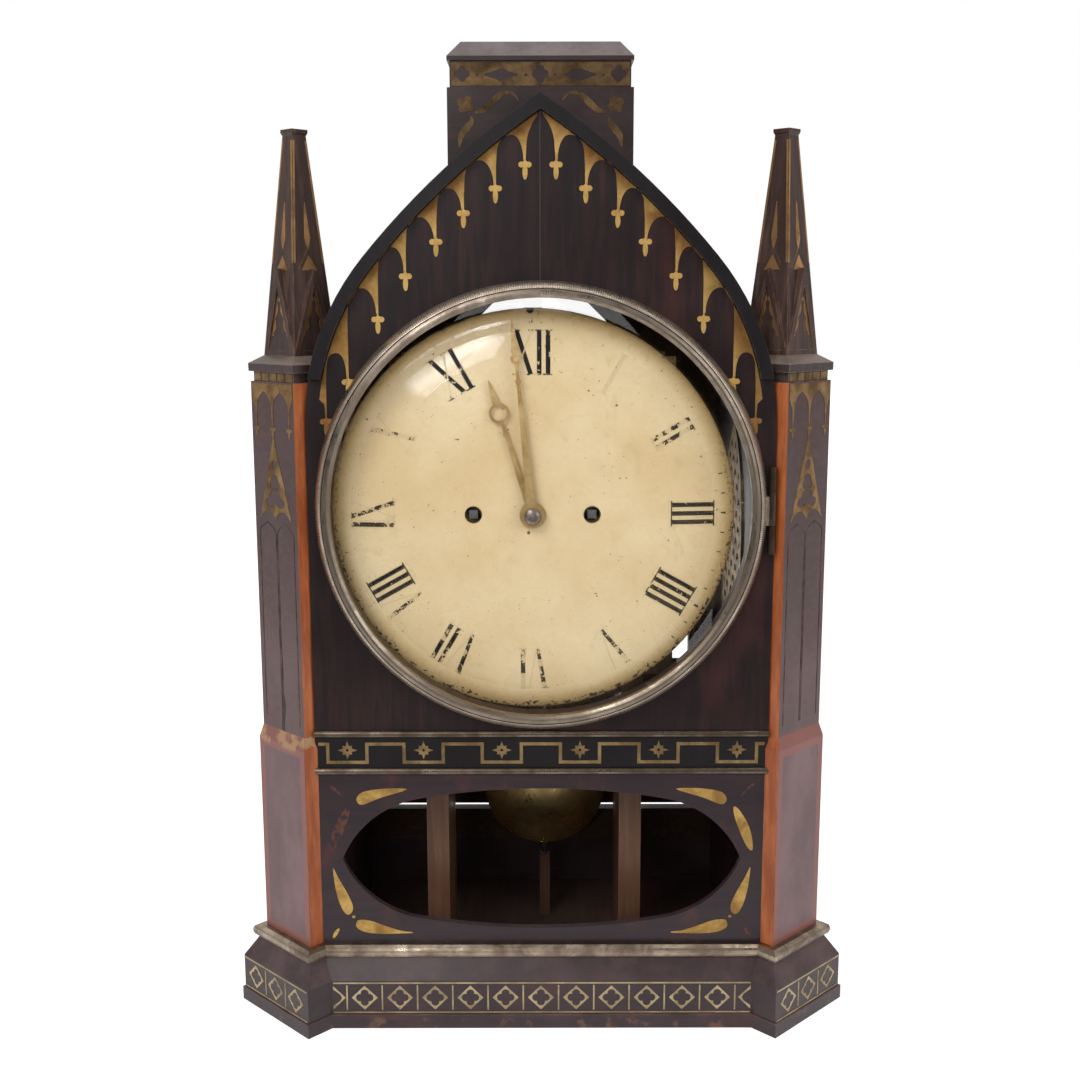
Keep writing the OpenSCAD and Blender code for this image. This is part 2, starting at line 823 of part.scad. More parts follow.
// Fusee and its line along the arbor
groove_y = inner_y + 7;
flange_y = groove_y + (fusee_turns + 1) * groove_pitch - 0.1;
flange_t = 2.1;
steps = 24; // rings in one turn of a line or a groove
line_room = 0.15; // room under a line
barrel_front = inner_y + 3;
barrel_line_y = barrel_front + 4;

// Planes of the wheels
great_y = flange_y + flange_t + 0.4;
centre_wheel_y = inner_y + 1.5;
third_y = rear_y - 9;
escape_y = rear_y - 13;
gathering_y = inner_y + 19;
warning_y = inner_y + 29;
minute_y = plate_y - 4;
hour_y = plate_y - 8;
snail_y = hour_y - 2;
crutch_y = plate_back + 3;
pendulum_y = plate_back + pendulum_back;

// Tooth counts
great_teeth = 96;
centre_pinion = 8;
centre_teeth = 84;
third_pinion = 7;
third_teeth = 70;
escape_pinion = 7;
escape_teeth = 30;
motion_teeth = 40;
minute_pinion = 8;
hour_teeth = 96;
strike_great_teeth = 84;
pin_pinion = 8;
pin_teeth = 64;
gathering_pinion = 8;
gathering_teeth = 56;
warning_pinion = 7;
warning_teeth = 50;
fly_pinion = 7;

// Distances between arbors
third_far = 26;
escape_far = 19.25;
minute_far = 26;
pin_far = 26.45;
gathering_far = 19.77;
warning_far = 15.76;
fly_far = 12.8;

// Places of the arbors, to the right of and above the middle of the movement
function away(p, far, turn) = [p[0] + far * cos(turn), p[1] + far * sin(turn)];
centre_at = [0, 0];
time_at = [fusee_x, 0];
strike_at = [-fusee_x, 0];
time_barrel_at = [barrel_x, -barrel_down];
strike_barrel_at = [-barrel_x, -barrel_down];
third_at = away(centre_at, third_far, 103.3);
escape_at = away(third_at, escape_far, 50.7);
pallet_at = [escape_at[0], escape_at[1] + 22.5];
minute_at_arbor = [0, -minute_far];
pin_at = away(strike_at, pin_far, 135);
gathering_at = away(pin_at, gathering_far, 70.2);
warning_at = away(gathering_at, warning_far, 37.5);
fly_at = away(warning_at, fly_far, 42);
hammer_at = [-62, 45];
rack_at = [-48, -38];
pillars = [[-69, 73], [69, 73], [-67.5, -71.5], [67.5, -71.5], [0, -71.5]];
dial_feet = [[-52, 58], [52, 58], [-52, -58], [52, -58]];
escape_r = 15.5;

// Lays a piece along an arbor, its own z pointing to the back
module on_arbor(p, y) {
    translate([centre_x + p[0], y, centre_z + p[1]]) rotate([-90, 0, 0]) children();
}

// Direction from one arbor to another in a piece's own plane
function toward(a, b) = atan2(a[1] - b[1], b[0] - a[0]);

// Turn of a wheel that meets another wheel standing at no turn
function meeting(a, b, teeth_a, teeth_b) = let (turn = toward(a, b))
    turn + 180 + 180 / teeth_b + turn * teeth_a / teeth_b;

// Tooth size of two wheels at a distance
function tooth_size(far, teeth_a, teeth_b) = 2 * far / (teeth_a + teeth_b);

great_size = tooth_size(fusee_x, great_teeth, centre_pinion);
centre_size = tooth_size(third_far, centre_teeth, third_pinion);
third_size = tooth_size(escape_far, third_teeth, escape_pinion);
motion_size = tooth_size(minute_far, motion_teeth, motion_teeth);
hour_size = tooth_size(minute_far, minute_pinion, hour_teeth);
strike_size = tooth_size(pin_far, strike_great_teeth, pin_pinion);
pin_size = tooth_size(gathering_far, pin_teeth, gathering_pinion);
gathering_size = tooth_size(warning_far, gathering_teeth, warning_pinion);
warning_size = tooth_size(fly_far, warning_teeth, fly_pinion);

function polar(r, a) = [r * cos(a), r * sin(a)];

module teeth(count, size, above_pitch, root_share, tip_share) {
    pitch_r = count * size / 2;
    tip_r = pitch_r + above_pitch * size;
    root_r = pitch_r - 1.25 * size;
    polygon([for (i = [0 : count - 1]) let (a = 360 * i / count, w = 360 / count) each [
        polar(root_r, a - root_share * w), polar(tip_r, a - tip_share * w),
        polar(tip_r, a + tip_share * w), polar(root_r, a + root_share * w)
    ]]);
}

module pinion(count, size, l) {
    linear_extrude(l) teeth(count, size, 0.65, 0.25, 0.07);
}

// A crossed-out brass wheel
module wheel(count, size, t, spokes, hub_r) {
    rim_r = count * size / 2 - 1.25 * size - 1.8;
    spoke_w = 2;
    linear_extrude(t) {
        difference() {
            teeth(count, size, 0.9, 0.27, 0.1);
            circle(rim_r);
        }
        circle(hub_r);
        for (i = [0 : spokes - 1]) rotate(360 * i / spokes)
            translate([0, -spoke_w / 2]) square([rim_r + 0.3, spoke_w]);
    }
}

// Arbor of a train wheel, pivoted in both plates
module train_arbor(p) {
    pivot = 2.5;
    on_arbor(p, inner_y - pivot) cylinder(h = plate_space + 2 * pivot, r = arbor_r);
}

module train_wheel(p, wheel_y, count, size, pinion_y, leaves, leaf_size, leaf_turn) {
    color(steel) {
        train_arbor(p);
        on_arbor(p, pinion_y - pinion_over / 2) rotate(leaf_turn) pinion(leaves, leaf_size, wheel_t + pinion_over);
    }
    color(brass) on_arbor(p, wheel_y) wheel(count, size, wheel_t, 4, 3);
}

module plate_outline() {
    translate([centre_x - plate_w, centre_z - plate_down]) square([2 * plate_w, plate_up + plate_down]);
}

module plate_holes(y, places, r) {
    for (p = places) on_arbor(p, y - cut) cylinder(h = plate_t + 2 * cut, r = r + arbor_gap);
}

fine_arbors = [third_at, escape_at, pin_at, gathering_at, warning_at, fly_at, hammer_at];
stud_r = 1.2;

module front_plate() {
    color(brass) in_case() {
        difference() {
            standing(plate_y, plate_t) plate_outline();
            plate_holes(plate_y, concat(fine_arbors, [centre_at, pallet_at]), arbor_r);
            plate_holes(plate_y, [time_at, strike_at], great_arbor_r);
            plate_holes(plate_y, [time_barrel_at, strike_barrel_at], barrel_arbor_r);
        }
        on_arbor(minute_at_arbor, hour_y - 1.5) cylinder(h = plate_y - hour_y + 1.5, r = stud_r);
        on_arbor(rack_at, snail_y - 1) cylinder(h = plate_y - snail_y + 1, r = stud_r);
    }
}

module back_plate() {
    color(brass) in_case() difference() {
        standing(rear_y, plate_t) plate_outline();
        plate_holes(rear_y, concat(fine_arbors, [centre_at]), arbor_r);
        plate_holes(rear_y, [pallet_at], arbor_r + 1.5);
        plate_holes(rear_y, [time_at, strike_at], great_arbor_r);
        plate_holes(rear_y, [time_barrel_at, strike_barrel_at], barrel_arbor_r);
    }
}

module plate_pillars() {
    color(brass) in_case() for (p = pillars) on_arbor(p, inner_y) {
        cylinder(h = plate_space, r = pillar_d * 0.32);
        for (z = [0, plate_space / 2 - 4, plate_space - 8]) translate([0, 0, z])
            cylinder(h = 8, r = pillar_d / 2 - 0.5);
    }
}

barrel_arbor_r = 2.5;
barrel_wall = 1.2;

module barrel_arbors() {
    color(steel) in_case() for (p = [time_barrel_at, strike_barrel_at])
        on_arbor(p, plate_y - 1.5) cylinder(h = plate_back - plate_y + 3, r = barrel_arbor_r);
}

// A barrel, with the stop on its side that holds the end of the line
module barrel(p, fusee_p) {
    turn = line_turn(p, fusee_p);
    color(brass) on_arbor(p, barrel_front) {
        difference() {
            cylinder(h = barrel_l, r = barrel_r);
            translate([0, 0, barrel_wall]) cylinder(h = barrel_l - 2 * barrel_wall, r = barrel_r - barrel_wall);
            translate([0, 0, -cut]) cylinder(h = barrel_l + 2 * cut, r = barrel_arbor_r + arbor_gap);
        }
        rotate(turn) translate([barrel_r - barrel_wall, -line_d - 1.7, barrel_line_y - barrel_front - 1])
            cube([barrel_wall + line_d + 0.4, 1.6, 2]);
    }
}

// Radius of the fusee after a number of turns from its small end
function fusee_r(turns) = let (t = turns / (fusee_turns + 1))
    fusee_small_r * fusee_large_r
    / (fusee_small_r + (fusee_large_r - fusee_small_r) * (1 - t));

function seat_r(turns) = fusee_r(turns) - groove_deep + line_d / 2 + line_room;

// Radius of the line on a barrel, where the chords between its rings clear the round drum
barrel_line_r = (barrel_r + line_room) / cos(180 / steps) + line_d / 2;

// Direction, in the barrel's plane, of the side where the line leaves it
function line_turn(barrel_p, fusee_p) =
    let (far = norm(fusee_p - barrel_p))
    toward(barrel_p, fusee_p)
    - acos((barrel_line_r - seat_r(fusee_turns - fusee_line_turns + 0.5)) / far);

function spiral_point(r, turn, z) = [r * cos(turn), r * sin(turn), z];

// The grooved body: one ridge and a flat floor, wound round the arbor
module grooved_cone(start) {
    last = fusee_turns * steps;
    ridges = [for (i = [0 : last + steps])
        spiral_point(fusee_r(i / steps), start + i * 360 / steps, groove_pitch * i / steps)];
    floors = [for (share = [0.27, 0.73], i = [0 : last])
        spiral_point(fusee_r(i / steps + 0.5) - groove_deep, start + i * 360 / steps,
            groove_pitch * (i / steps + share))];
    ends = [[0, 0, 0], [0, 0, groove_pitch * (fusee_turns + 1)]];
    a = len(ridges);
    b = a + last + 1;
    foot = b + last + 1;
    top = foot + 1;
    polyhedron(
        points = concat(ridges, floors, ends),
        faces = concat(
            [for (i = [0 : last - 1]) each [
                [i, a + i, i + 1], [i + 1, a + i, a + i + 1],
                [a + i, b + i, a + i + 1], [a + i + 1, b + i, b + i + 1],
                [b + i, i + steps, b + i + 1], [b + i + 1, i + steps, i + steps + 1]
            ]],
            [for (i = [0 : steps - 1]) each [[foot, i, i + 1], [top, last + i + 1, last + i]]],
            [[foot, steps, b], [foot, b, a], [foot, a, 0]],
            [[top, b + last, last + steps], [top, a + last, b + last], [top, last, a + last]]
        )
    );
}

module fusee(p, barrel_p) {
    turn = line_turn(barrel_p, p);
    top = flange_y - groove_y;
    end_r = seat_r(fusee_turns + 0.5);
    color(brass) on_arbor(p, groove_y) difference() {
        union() {
            grooved_cone(turn);
            translate([0, 0, -2]) cylinder(h = 3, r = fusee_small_r - groove_deep - 0.6);
            translate([0, 0, top]) cylinder(h = flange_t, r = fusee_large_r + 1);
            rotate(turn) translate([end_r - 1.6, line_d + 0.1, top - 2.2]) cube([2.4, 1.6, 2.6]);
        }
        translate([0, 0, -3]) cylinder(h = top + flange_t + 4, r = great_arbor_r + arbor_gap);
    }
}

// A gut line from the barrel, across to the fusee and round its large end
function line_path(p, barrel_p) =
    let (
        turn = line_turn(barrel_p, p),
        r = barrel_line_r,
        off = [barrel_p[0] - p[0], p[1] - barrel_p[1], 0],
        first = fusee_turns - fusee_line_turns,
        meet_z = groove_pitch * (first + 0.5),
        start_z = barrel_line_y - groove_y,
        tangent = [-sin(turn), cos(turn), 0],
        on_barrel = [for (i = [0 : barrel_line_turns * steps])
            let (a = turn + i * 360 / steps)
            [off + spiral_point(r, a, start_z + (meet_z - start_z) * i / (barrel_line_turns * steps)), a]],
        on_fusee = [for (i = [0 : fusee_line_turns * steps])
            let (a = turn + i * 360 / steps, turns = first + i / steps)
            [spiral_point(seat_r(turns + 0.5), a, groove_pitch * (turns + 0.5)), a]],
        n = len(on_fusee) - 1
    )
    concat(
        [[on_barrel[0][0] - tangent * line_d, turn]], on_barrel,
        on_fusee, [[on_fusee[n][0] + tangent * line_d, turn]]
    );

line_sides = 6;

module wound_line(p, barrel_p) {
    path = line_path(p, barrel_p);
    count = len(path);
    points = [for (ring = path, k = [0 : line_sides - 1])
        let (a = 360 * k / line_sides)
        ring[0] + line_d / 2 * [cos(ring[1]) * cos(a), sin(ring[1]) * cos(a), sin(a)]];
    on_arbor(p, groove_y) polyhedron(
        points = points,
        faces = concat(
            [[for (k = [0 : line_sides - 1]) k]],
            [[for (k = [line_sides - 1 : -1 : 0]) (count - 1) * line_sides + k]],
            [for (i = [0 : count - 2], k = [0 : line_sides - 1])
                let (j = i * line_sides, next = (k + 1) % line_sides) each [
                    [j + k, j + line_sides + k, j + next],
                    [j + next, j + line_sides + k, j + line_sides + next]
                ]]
        )
    );
}

// Least gap between turns, measured on the ring centres a turn apart
function line_gap(path) = min([for (i = [1 : len(path) - steps - 2])
    norm(path[i + steps][0] - path[i][0]) - line_d]);

echo("least gap in the time line", line_gap(line_path(time_at, time_barrel_at)));
echo("least gap in the strike line", line_gap(line_path(strike_at, strike_barrel_at)));

module time_line() {
    color(gut) in_case() wound_line(time_at, time_barrel_at);
}

module strike_line() {
    color(gut) in_case() wound_line(strike_at, strike_barrel_at);
}

module time_barrel() {
    in_case() barrel(time_barrel_at, time_at);
}

module strike_barrel() {
    in_case() barrel(strike_barrel_at, strike_at);
}

module time_fusee() {
    in_case() fusee(time_at, time_barrel_at);
}

module strike_fusee() {
    in_case() fusee(strike_at, strike_barrel_at);
}

square_front = dial_y - dial_rise - dial_roll + 2.6;

module great_wheel(p, count, size) {
    color(steel) {
        on_arbor(p, plate_y - 1) cylinder(h = plate_back - plate_y + 1, r = great_arbor_r);
        on_arbor(p, square_front) translate([-square_w / 2, -square_w / 2, 0])
            cube([square_w, square_w, plate_y - 1 - square_front]);
    }
    color(brass) on_arbor(p, great_y) wheel(count, size, wheel_t + 0.4, 5, great_arbor_r + 2.5);
}

module time_great_wheel() {
    in_case() great_wheel(time_at, great_teeth, great_size);
}

module strike_great_wheel() {
    in_case() great_wheel(strike_at, strike_great_teeth, strike_size);
}

module centre_wheel() {
    in_case() {
        color(steel) {
            on_arbor(centre_at, arbor_front) cylinder(h = rear_y + 2.5 - arbor_front, r = arbor_r);
            on_arbor(centre_at, great_y - pinion_over / 2)
                rotate(meeting(time_at, centre_at, great_teeth, centre_pinion))
                pinion(centre_pinion, great_size, wheel_t + 0.4 + pinion_over);
        }
        color(brass) on_arbor(centre_at, centre_wheel_y) wheel(centre_teeth, centre_size, wheel_t, 4, 3);
    }
}

module third_wheel() {
    in_case() train_wheel(third_at, third_y, third_teeth, third_size, centre_wheel_y, third_pinion,
        centre_size, meeting(centre_at, third_at, centre_teeth, third_pinion));
}

// Pointed teeth that lean towards their direction of turning
module escape_outline() {
    root_r = escape_r - 2.6;
    polygon([for (i = [0 : escape_teeth - 1]) let (a = 360 * i / escape_teeth) each [
        polar(root_r, a), polar(root_r, a + 7.4), polar(escape_r, a + 11.2), polar(escape_r, a + 11.8)
    ]]);
}

module escape_wheel() {
    in_case() {
        color(steel) {
            train_arbor(escape_at);
            on_arbor(escape_at, third_y - pinion_over / 2)
                rotate(meeting(third_at, escape_at, third_teeth, escape_pinion))
                pinion(escape_pinion, third_size, wheel_t + pinion_over);
        }
        color(brass) on_arbor(escape_at, escape_y) linear_extrude(wheel_t) {
            difference() {
                escape_outline();
                circle(escape_r - 4.4);
            }
            circle(2.6);
            for (turn = [0, 90, 180, 270]) rotate(turn)
                translate([0, -0.8]) square([escape_r - 4, 1.6]);
        }
    }
}

crutch_l = 38;
crutch_w = 3;
fork_room = 0.3;

// Anchor, its arbor and the crutch that drives the pendulum
module pallets() {
    arm = [[0, -3.2], [9, -1.6], [14.6, 4], [15.2, 8], [12.8, 11.4], [11.9, 9.6], [11.2, 6.2], [6.5, 2.4], [0, 2]];
    in_case() color(steel) {
        on_arbor(pallet_at, inner_y - 2.5) cylinder(h = pendulum_y - 1.2 - inner_y, r = arbor_r);
        on_arbor(pallet_at, escape_y - 0.4) linear_extrude(wheel_t + 0.8) {
            polygon(arm);
            mirror([1, 0]) polygon(arm);
            circle(3.4);
        }
        on_arbor(pallet_at, crutch_y) {
            linear_extrude(1.4) {
                circle(3);
                translate([-crutch_w / 2, 0]) square([crutch_w, crutch_l]);
            }
            for (side = [-1, 1])
                translate([side * (rod_d / 2 + fork_room + 0.8) - 0.8, crutch_l - 3, 0])
                    cube([1.6, 3, pendulum_y + 2 - crutch_y]);
            translate([-rod_d / 2 - fork_room - 1.6, crutch_l - 3, 0])
                cube([rod_d + 2 * fork_room + 3.2, 3, 1.4]);
        }
    }
}

// Front end of the centre arbor and the tubes that ride on it
dial_front = dial_y - dial_rise - dial_roll;
hour_back = dial_front - hour_gap;
minute_back = hour_back - hand_t - hands_gap;
arbor_front = minute_back - hand_t - 2.2;
cannon_r = arbor_r + 1;
pipe_gap = 0.1;
pipe_r = cannon_r + pipe_gap + 1;
pipe_hole_r = pipe_r + 0.4;
collet_r = 3.4;

module cannon_pinion() {
    in_case() color(steel) difference() {
        union() {
            on_arbor(centre_at, minute_back + 0.05)
                cylinder(h = minute_y + wheel_t - minute_back, r = cannon_r);
            on_arbor(centre_at, minute_y) rotate(meeting(minute_at_arbor, centre_at, motion_teeth, motion_teeth))
                wheel(motion_teeth, motion_size, wheel_t, 4, 4);
        }
        on_arbor(centre_at, 0 - reach / 2) cylinder(h = reach, r = arbor_r + arbor_gap);
    }
}

module minute_wheel() {
    in_case() difference() {
        union() {
            color(brass) on_arbor(minute_at_arbor, minute_y) wheel(motion_teeth, motion_size, wheel_t, 4, 3.4);
            color(steel) on_arbor(minute_at_arbor, hour_y - 0.4)
                rotate(meeting(centre_at, minute_at_arbor, hour_teeth, minute_pinion))
                pinion(minute_pinion, hour_size, minute_y - hour_y + 0.5);
        }
        on_arbor(minute_at_arbor, 0) cylinder(h = plate_y, r = stud_r + arbor_gap);
    }
}

// Twelve steps, one for each hour
module snail_outline() {
    for (hour = [1 : 12]) rotate(hour * 30 - 60) intersection() {
        circle(18 - hour);
        polygon([[0, 0], polar(40, -15.1), polar(40, 15.1)]);
    }
}

module hour_wheel() {
    in_case() difference() {
        union() {
            color(brass) {
                on_arbor(centre_at, hour_y) wheel(hour_teeth, hour_size, wheel_t, 4, pipe_r + 2);
                on_arbor(centre_at, snail_y) linear_extrude(hour_y - snail_y) snail_outline();
            }
            color(steel) on_arbor(centre_at, hour_back + 0.05) cylinder(h = hour_y - hour_back, r = pipe_r);
        }
        on_arbor(centre_at, -cut) cylinder(h = plate_y, r = cannon_r + pipe_gap);
    }
}

// Depth of the dial's face behind the dial's middle
dome_r = (dial_roll_r * dial_roll_r + dial_rise * dial_rise) / (2 * dial_rise);
function dome_depth(r) = dome_r - sqrt(dome_r * dome_r - r * r);
function roll_depth(r) = let (t = (r - dial_roll_r) / (dial_r - dial_roll_r))
    dome_depth(dial_roll_r) + dial_roll * (1 - sqrt(1 - t * t));

// A sheet over the dome, its faces at two distances behind the dial's face
module over_dome(face, back, r) {
    steps_out = 16;
    at = [for (i = [0 : steps_out]) r * i / steps_out];
    rotate_extrude() polygon(concat(
        [for (x = at) [x, dome_depth(x) + face]],
        [for (i = [steps_out : -1 : 0]) [at[i], dome_depth(at[i]) + back]]
    ));
}

module dial() {
    edge = [for (a = [0 : 10 : 90]) dial_roll_r + (dial_r - dial_roll_r) * sin(a)];
    dome = [for (i = [0 : 15]) dial_roll_r * i / 16];
    face = concat([for (x = dome) [x, dome_depth(x)]], [for (x = edge) [x, roll_depth(x)]]);
    last = len(face) - 1;
    inner_r = dial_r - dial_t;
    back = [for (i = [last : -1 : 0])
        [face[i][0] * inner_r / dial_r, min(face[i][1] + dial_t, dial_rise + dial_roll)]];
    foot_r = 2.5;
    color(cream) in_case() {
        difference() {
            on_arbor(centre_at, dial_front) rotate_extrude() polygon(concat(
                [for (p = face) p], [for (i = [1 : last]) back[i]]
            ));
            on_arbor(centre_at, 0) cylinder(h = plate_y, r = pipe_hole_r);
            for (p = [time_at, strike_at]) on_arbor(p, 0) cylinder(h = plate_y, r = wind_hole_r);
        }
        for (p = dial_feet) {
            y = dial_front + dome_depth(norm(p)) + dial_t / 2;
            on_arbor(p, y) cylinder(h = plate_y - y, r = foot_r);
        }
    }
}

// Outline of a hand that points along x
module hand_outline(l, boss_r, ring_at, ring_r, hole_r, collar_at, collar_r, root_w) {
    point_at = ring_at + ring_r + 1;
    difference() {
        union() {
            circle(boss_r);
            polygon([[0, -root_w / 2], [collar_at, -hand_neck_w / 2],
                [collar_at, hand_neck_w / 2], [0, root_w / 2]]);
            translate([collar_at, 0]) circle(collar_r);
            translate([collar_at, -hand_neck_w / 2]) square([point_at - collar_at, hand_neck_w]);
            translate([ring_at, 0]) circle(ring_r);
            polygon([[ring_at, -hand_neck_w / 2], [point_at, -hand_point_w / 2], [l, -0.25],
                [l, 0.25], [point_at, hand_point_w / 2], [ring_at, hand_neck_w / 2]]);
        }
        translate([ring_at, 0]) circle(hole_r);
    }
}

// Bends a hand's outline over the dial and bores it
module hand(turn, front, bore_r) {
    difference() {
        intersection() {
            on_arbor(centre_at, dial_front) over_dome(front, front + hand_t, dial_r);
            on_arbor(centre_at, front) rotate(turn - 90) linear_extrude(dial_y - front + 5) children();
        }
        on_arbor(centre_at, -reach / 2) cylinder(h = reach, r = bore_r);
    }
}

hour_boss_r = 6.6;
minute_boss_r = 6.2;
hand_neck_w = 1.7;
hand_point_w = 3.9;

module hour_hand() {
    color(gilt) in_case() {
        hand(hour_at, -hour_gap - hand_t, cannon_r + pipe_gap)
            hand_outline(hour_l, hour_boss_r, 0.76 * hour_l, 5.1, 3.8, 0.606 * hour_l, 1.5, 4.4);
    }
}

module minute_hand() {
    front = minute_back - hand_t - dial_front;
    color(gilt) in_case() hand(minute_at, front, arbor_r + arbor_gap)
        hand_outline(minute_l, minute_boss_r, 0.802 * minute_l, 2.7, 1.2, 0.688 * minute_l, 1.5, 5.4);
    color(brass) in_case() difference() {
        on_arbor(centre_at, minute_back - hand_t - 1.4) cylinder(h = 1.45, r = collet_r);
        on_arbor(centre_at, -reach / 2) cylinder(h = reach, r = arbor_r + arbor_gap);
    }
}

// The cock behind the back plate, with the chops that hold the suspension
cock_span = 22;
cock_t = 3;
cock_gap = 0.3;
cock_foot_h = 12;

module back_cock() {
    bar_y = pendulum_y - 5.5;
    in_case() color(brass) difference() {
        union() {
            for (side = [-1, 1]) on_arbor(pallet_at, plate_back)
                translate([side * cock_span - 4, -cock_foot_h / 2, 0])
                cube([8, cock_foot_h, bar_y + cock_t - plate_back]);
            on_arbor(pallet_at, bar_y) translate([-cock_span - 4, -cock_foot_h / 2, 0])
                cube([2 * cock_span + 8, cock_foot_h, cock_t]);
            on_arbor(pallet_at, bar_y) translate([-5, -cock_foot_h / 2 - 6, 0])
                cube([10, cock_foot_h / 2 + 6 - cock_gap, pendulum_y + 5 - bar_y]);
            on_arbor(pallet_at, bar_y) translate([-5, -cock_foot_h / 2, 0])
                cube([10, cock_foot_h, cock_t]);
        }
        on_arbor(pallet_at, plate_back) cylinder(h = pendulum_y - 1 - plate_back + 0.1, r = arbor_r + arbor_gap);
    }
}

rod_tail = 7;
nut_h = 2.5;

module pendulum_rod() {
    spring_l = 12;
    in_case() color(steel) on_arbor(pallet_at, pendulum_y) {
        translate([-2.2, 0.1, -0.25]) cube([4.4, spring_l, 0.5]);
        translate([-3, spring_l, -1.8]) cube([6, 6, 3.6]);
        translate([0, spring_l + 5, 0]) rotate([-90, 0, 0])
            cylinder(h = pendulum_l + bob_r + rod_tail - spring_l - 5, r = rod_d / 2);
        translate([0, pendulum_l + bob_r, 0]) rotate([-90, 0, 0]) cylinder(h = nut_h, r = 3.2);
    }
}

module pendulum_bob() {
    edge_t = 3;
    bulge = (bob_t - edge_t) / 2;
    lens_r = (bob_r * bob_r + bulge * bulge) / (2 * bulge);
    face = [for (i = [0 : arc_steps]) let (a = asin(bob_r / lens_r) * i / arc_steps)
        [lens_r * sin(a), bob_t / 2 - lens_r * (1 - cos(a))]];
    in_case() color(brass) difference() {
        on_arbor([pallet_at[0], pallet_at[1] - pendulum_l], pendulum_y)
            rotate_extrude() polygon(concat(
                face, [for (i = [arc_steps : -1 : 0]) [face[i][0], -face[i][1]]]
            ));
        on_arbor(pallet_at, pendulum_y) rotate([-90, 0, 0]) translate([0, 0, pendulum_l - bob_r - cut])
            cylinder(h = 2 * bob_r + 2 * cut, r = rod_d / 2 + arbor_gap);
    }
}

// Warning pins and lifting pins
pin_r = 0.6;
lift_r = pin_teeth * pin_size / 2 - 2;

module pin_wheel() {
    in_case() {
        train_wheel(pin_at, third_y, pin_teeth, pin_size, great_y, pin_pinion, strike_size,
            meeting(strike_at, pin_at, strike_great_teeth, pin_pinion));
        color(steel) for (i = [0 : 7]) on_arbor(pin_at, third_y - 3) rotate(45 * i)
            translate([lift_r, 0, 0]) cylinder(h = 3.5, r = pin_r);
    }
}

module gathering_wheel() {
    in_case() train_wheel(gathering_at, gathering_y, gathering_teeth, gathering_size, third_y,
        gathering_pinion, pin_size, meeting(pin_at, gathering_at, pin_teeth, gathering_pinion));
}

module warning_wheel() {
    in_case() train_wheel(warning_at, warning_y, warning_teeth, warning_size, gathering_y,
        warning_pinion, gathering_size, meeting(gathering_at, warning_at, gathering_teeth, warning_pinion));
}

fly_r = 10.2;

module fly() {
    in_case() {
        color(steel) {
            train_arbor(fly_at);
            on_arbor(fly_at, warning_y - pinion_over / 2)
                rotate(meeting(warning_at, fly_at, warning_teeth, fly_pinion))
                pinion(fly_pinion, warning_size, wheel_t + pinion_over);
        }
        color(brass) on_arbor(fly_at, centre_wheel_y + wheel_t + 2) {
            translate([-fly_r, -0.5, 0]) cube([2 * fly_r, 1, 12]);
            cylinder(h = 12, r = 2);
        }
    }
}

bell_y = inner_y + plate_space / 2;
bell_z = plate_up + 2;
hammer_gap = 0.8;
hammer_head_r = 4;
hammer_head_l = 9;
arm_w = 2.4;
tail_w = 1.8;
tail_gap = 0.4;

module hammer() {
    head_z = bell_z + 6;
    head_x = -bell_r - hammer_gap - hammer_head_l;
    rise = head_z - hammer_at[1];
    lean = head_x + hammer_head_l / 2 - hammer_at[0];
    tail_turn = toward(hammer_at, pin_at);
    tail_l = norm(pin_at - hammer_at) - lift_r - pin_r - tail_gap;
    in_case() color(steel) {
        train_arbor(hammer_at);
        on_arbor(hammer_at, bell_y - arm_w / 2) {
            linear_extrude(arm_w) {
                circle(3);
                polygon([[-arm_w / 2, 0], [lean - arm_w / 2, -rise], [lean + arm_w / 2, -rise], [arm_w / 2, 0]]);
            }
            translate([lean - hammer_head_l / 2, -rise, arm_w / 2]) rotate([0, 90, 0])
                cylinder(h = hammer_head_l, r = hammer_head_r);
        }
        on_arbor(hammer_at, third_y - 2.6) linear_extrude(1.6) {
            circle(2.4);
            rotate(tail_turn) translate([0, -tail_w / 2]) square([tail_l, tail_w]);
        }
    }
}

bell_hole_r = 1.6;

module bell() {
    outer = [for (i = [0 : arc_steps]) let (a = 90 * i / arc_steps)
        [bell_r * pow(sin(a), 0.7), bell_h * cos(a)]];
    inner = [for (p = outer) [p[0] * (bell_r - bell_t) / bell_r, p[1] * (bell_h - bell_t) / bell_h]];
    in_case() color(bright_brass) translate([centre_x, bell_y, centre_z + bell_z]) difference() {
        rotate_extrude() polygon(concat(outer, [for (i = [arc_steps : -1 : 0]) inner[i]]));
        translate([0, 0, -cut]) cylinder(h = bell_h + 2 * cut, r = bell_hole_r + arbor_gap);
    }
}

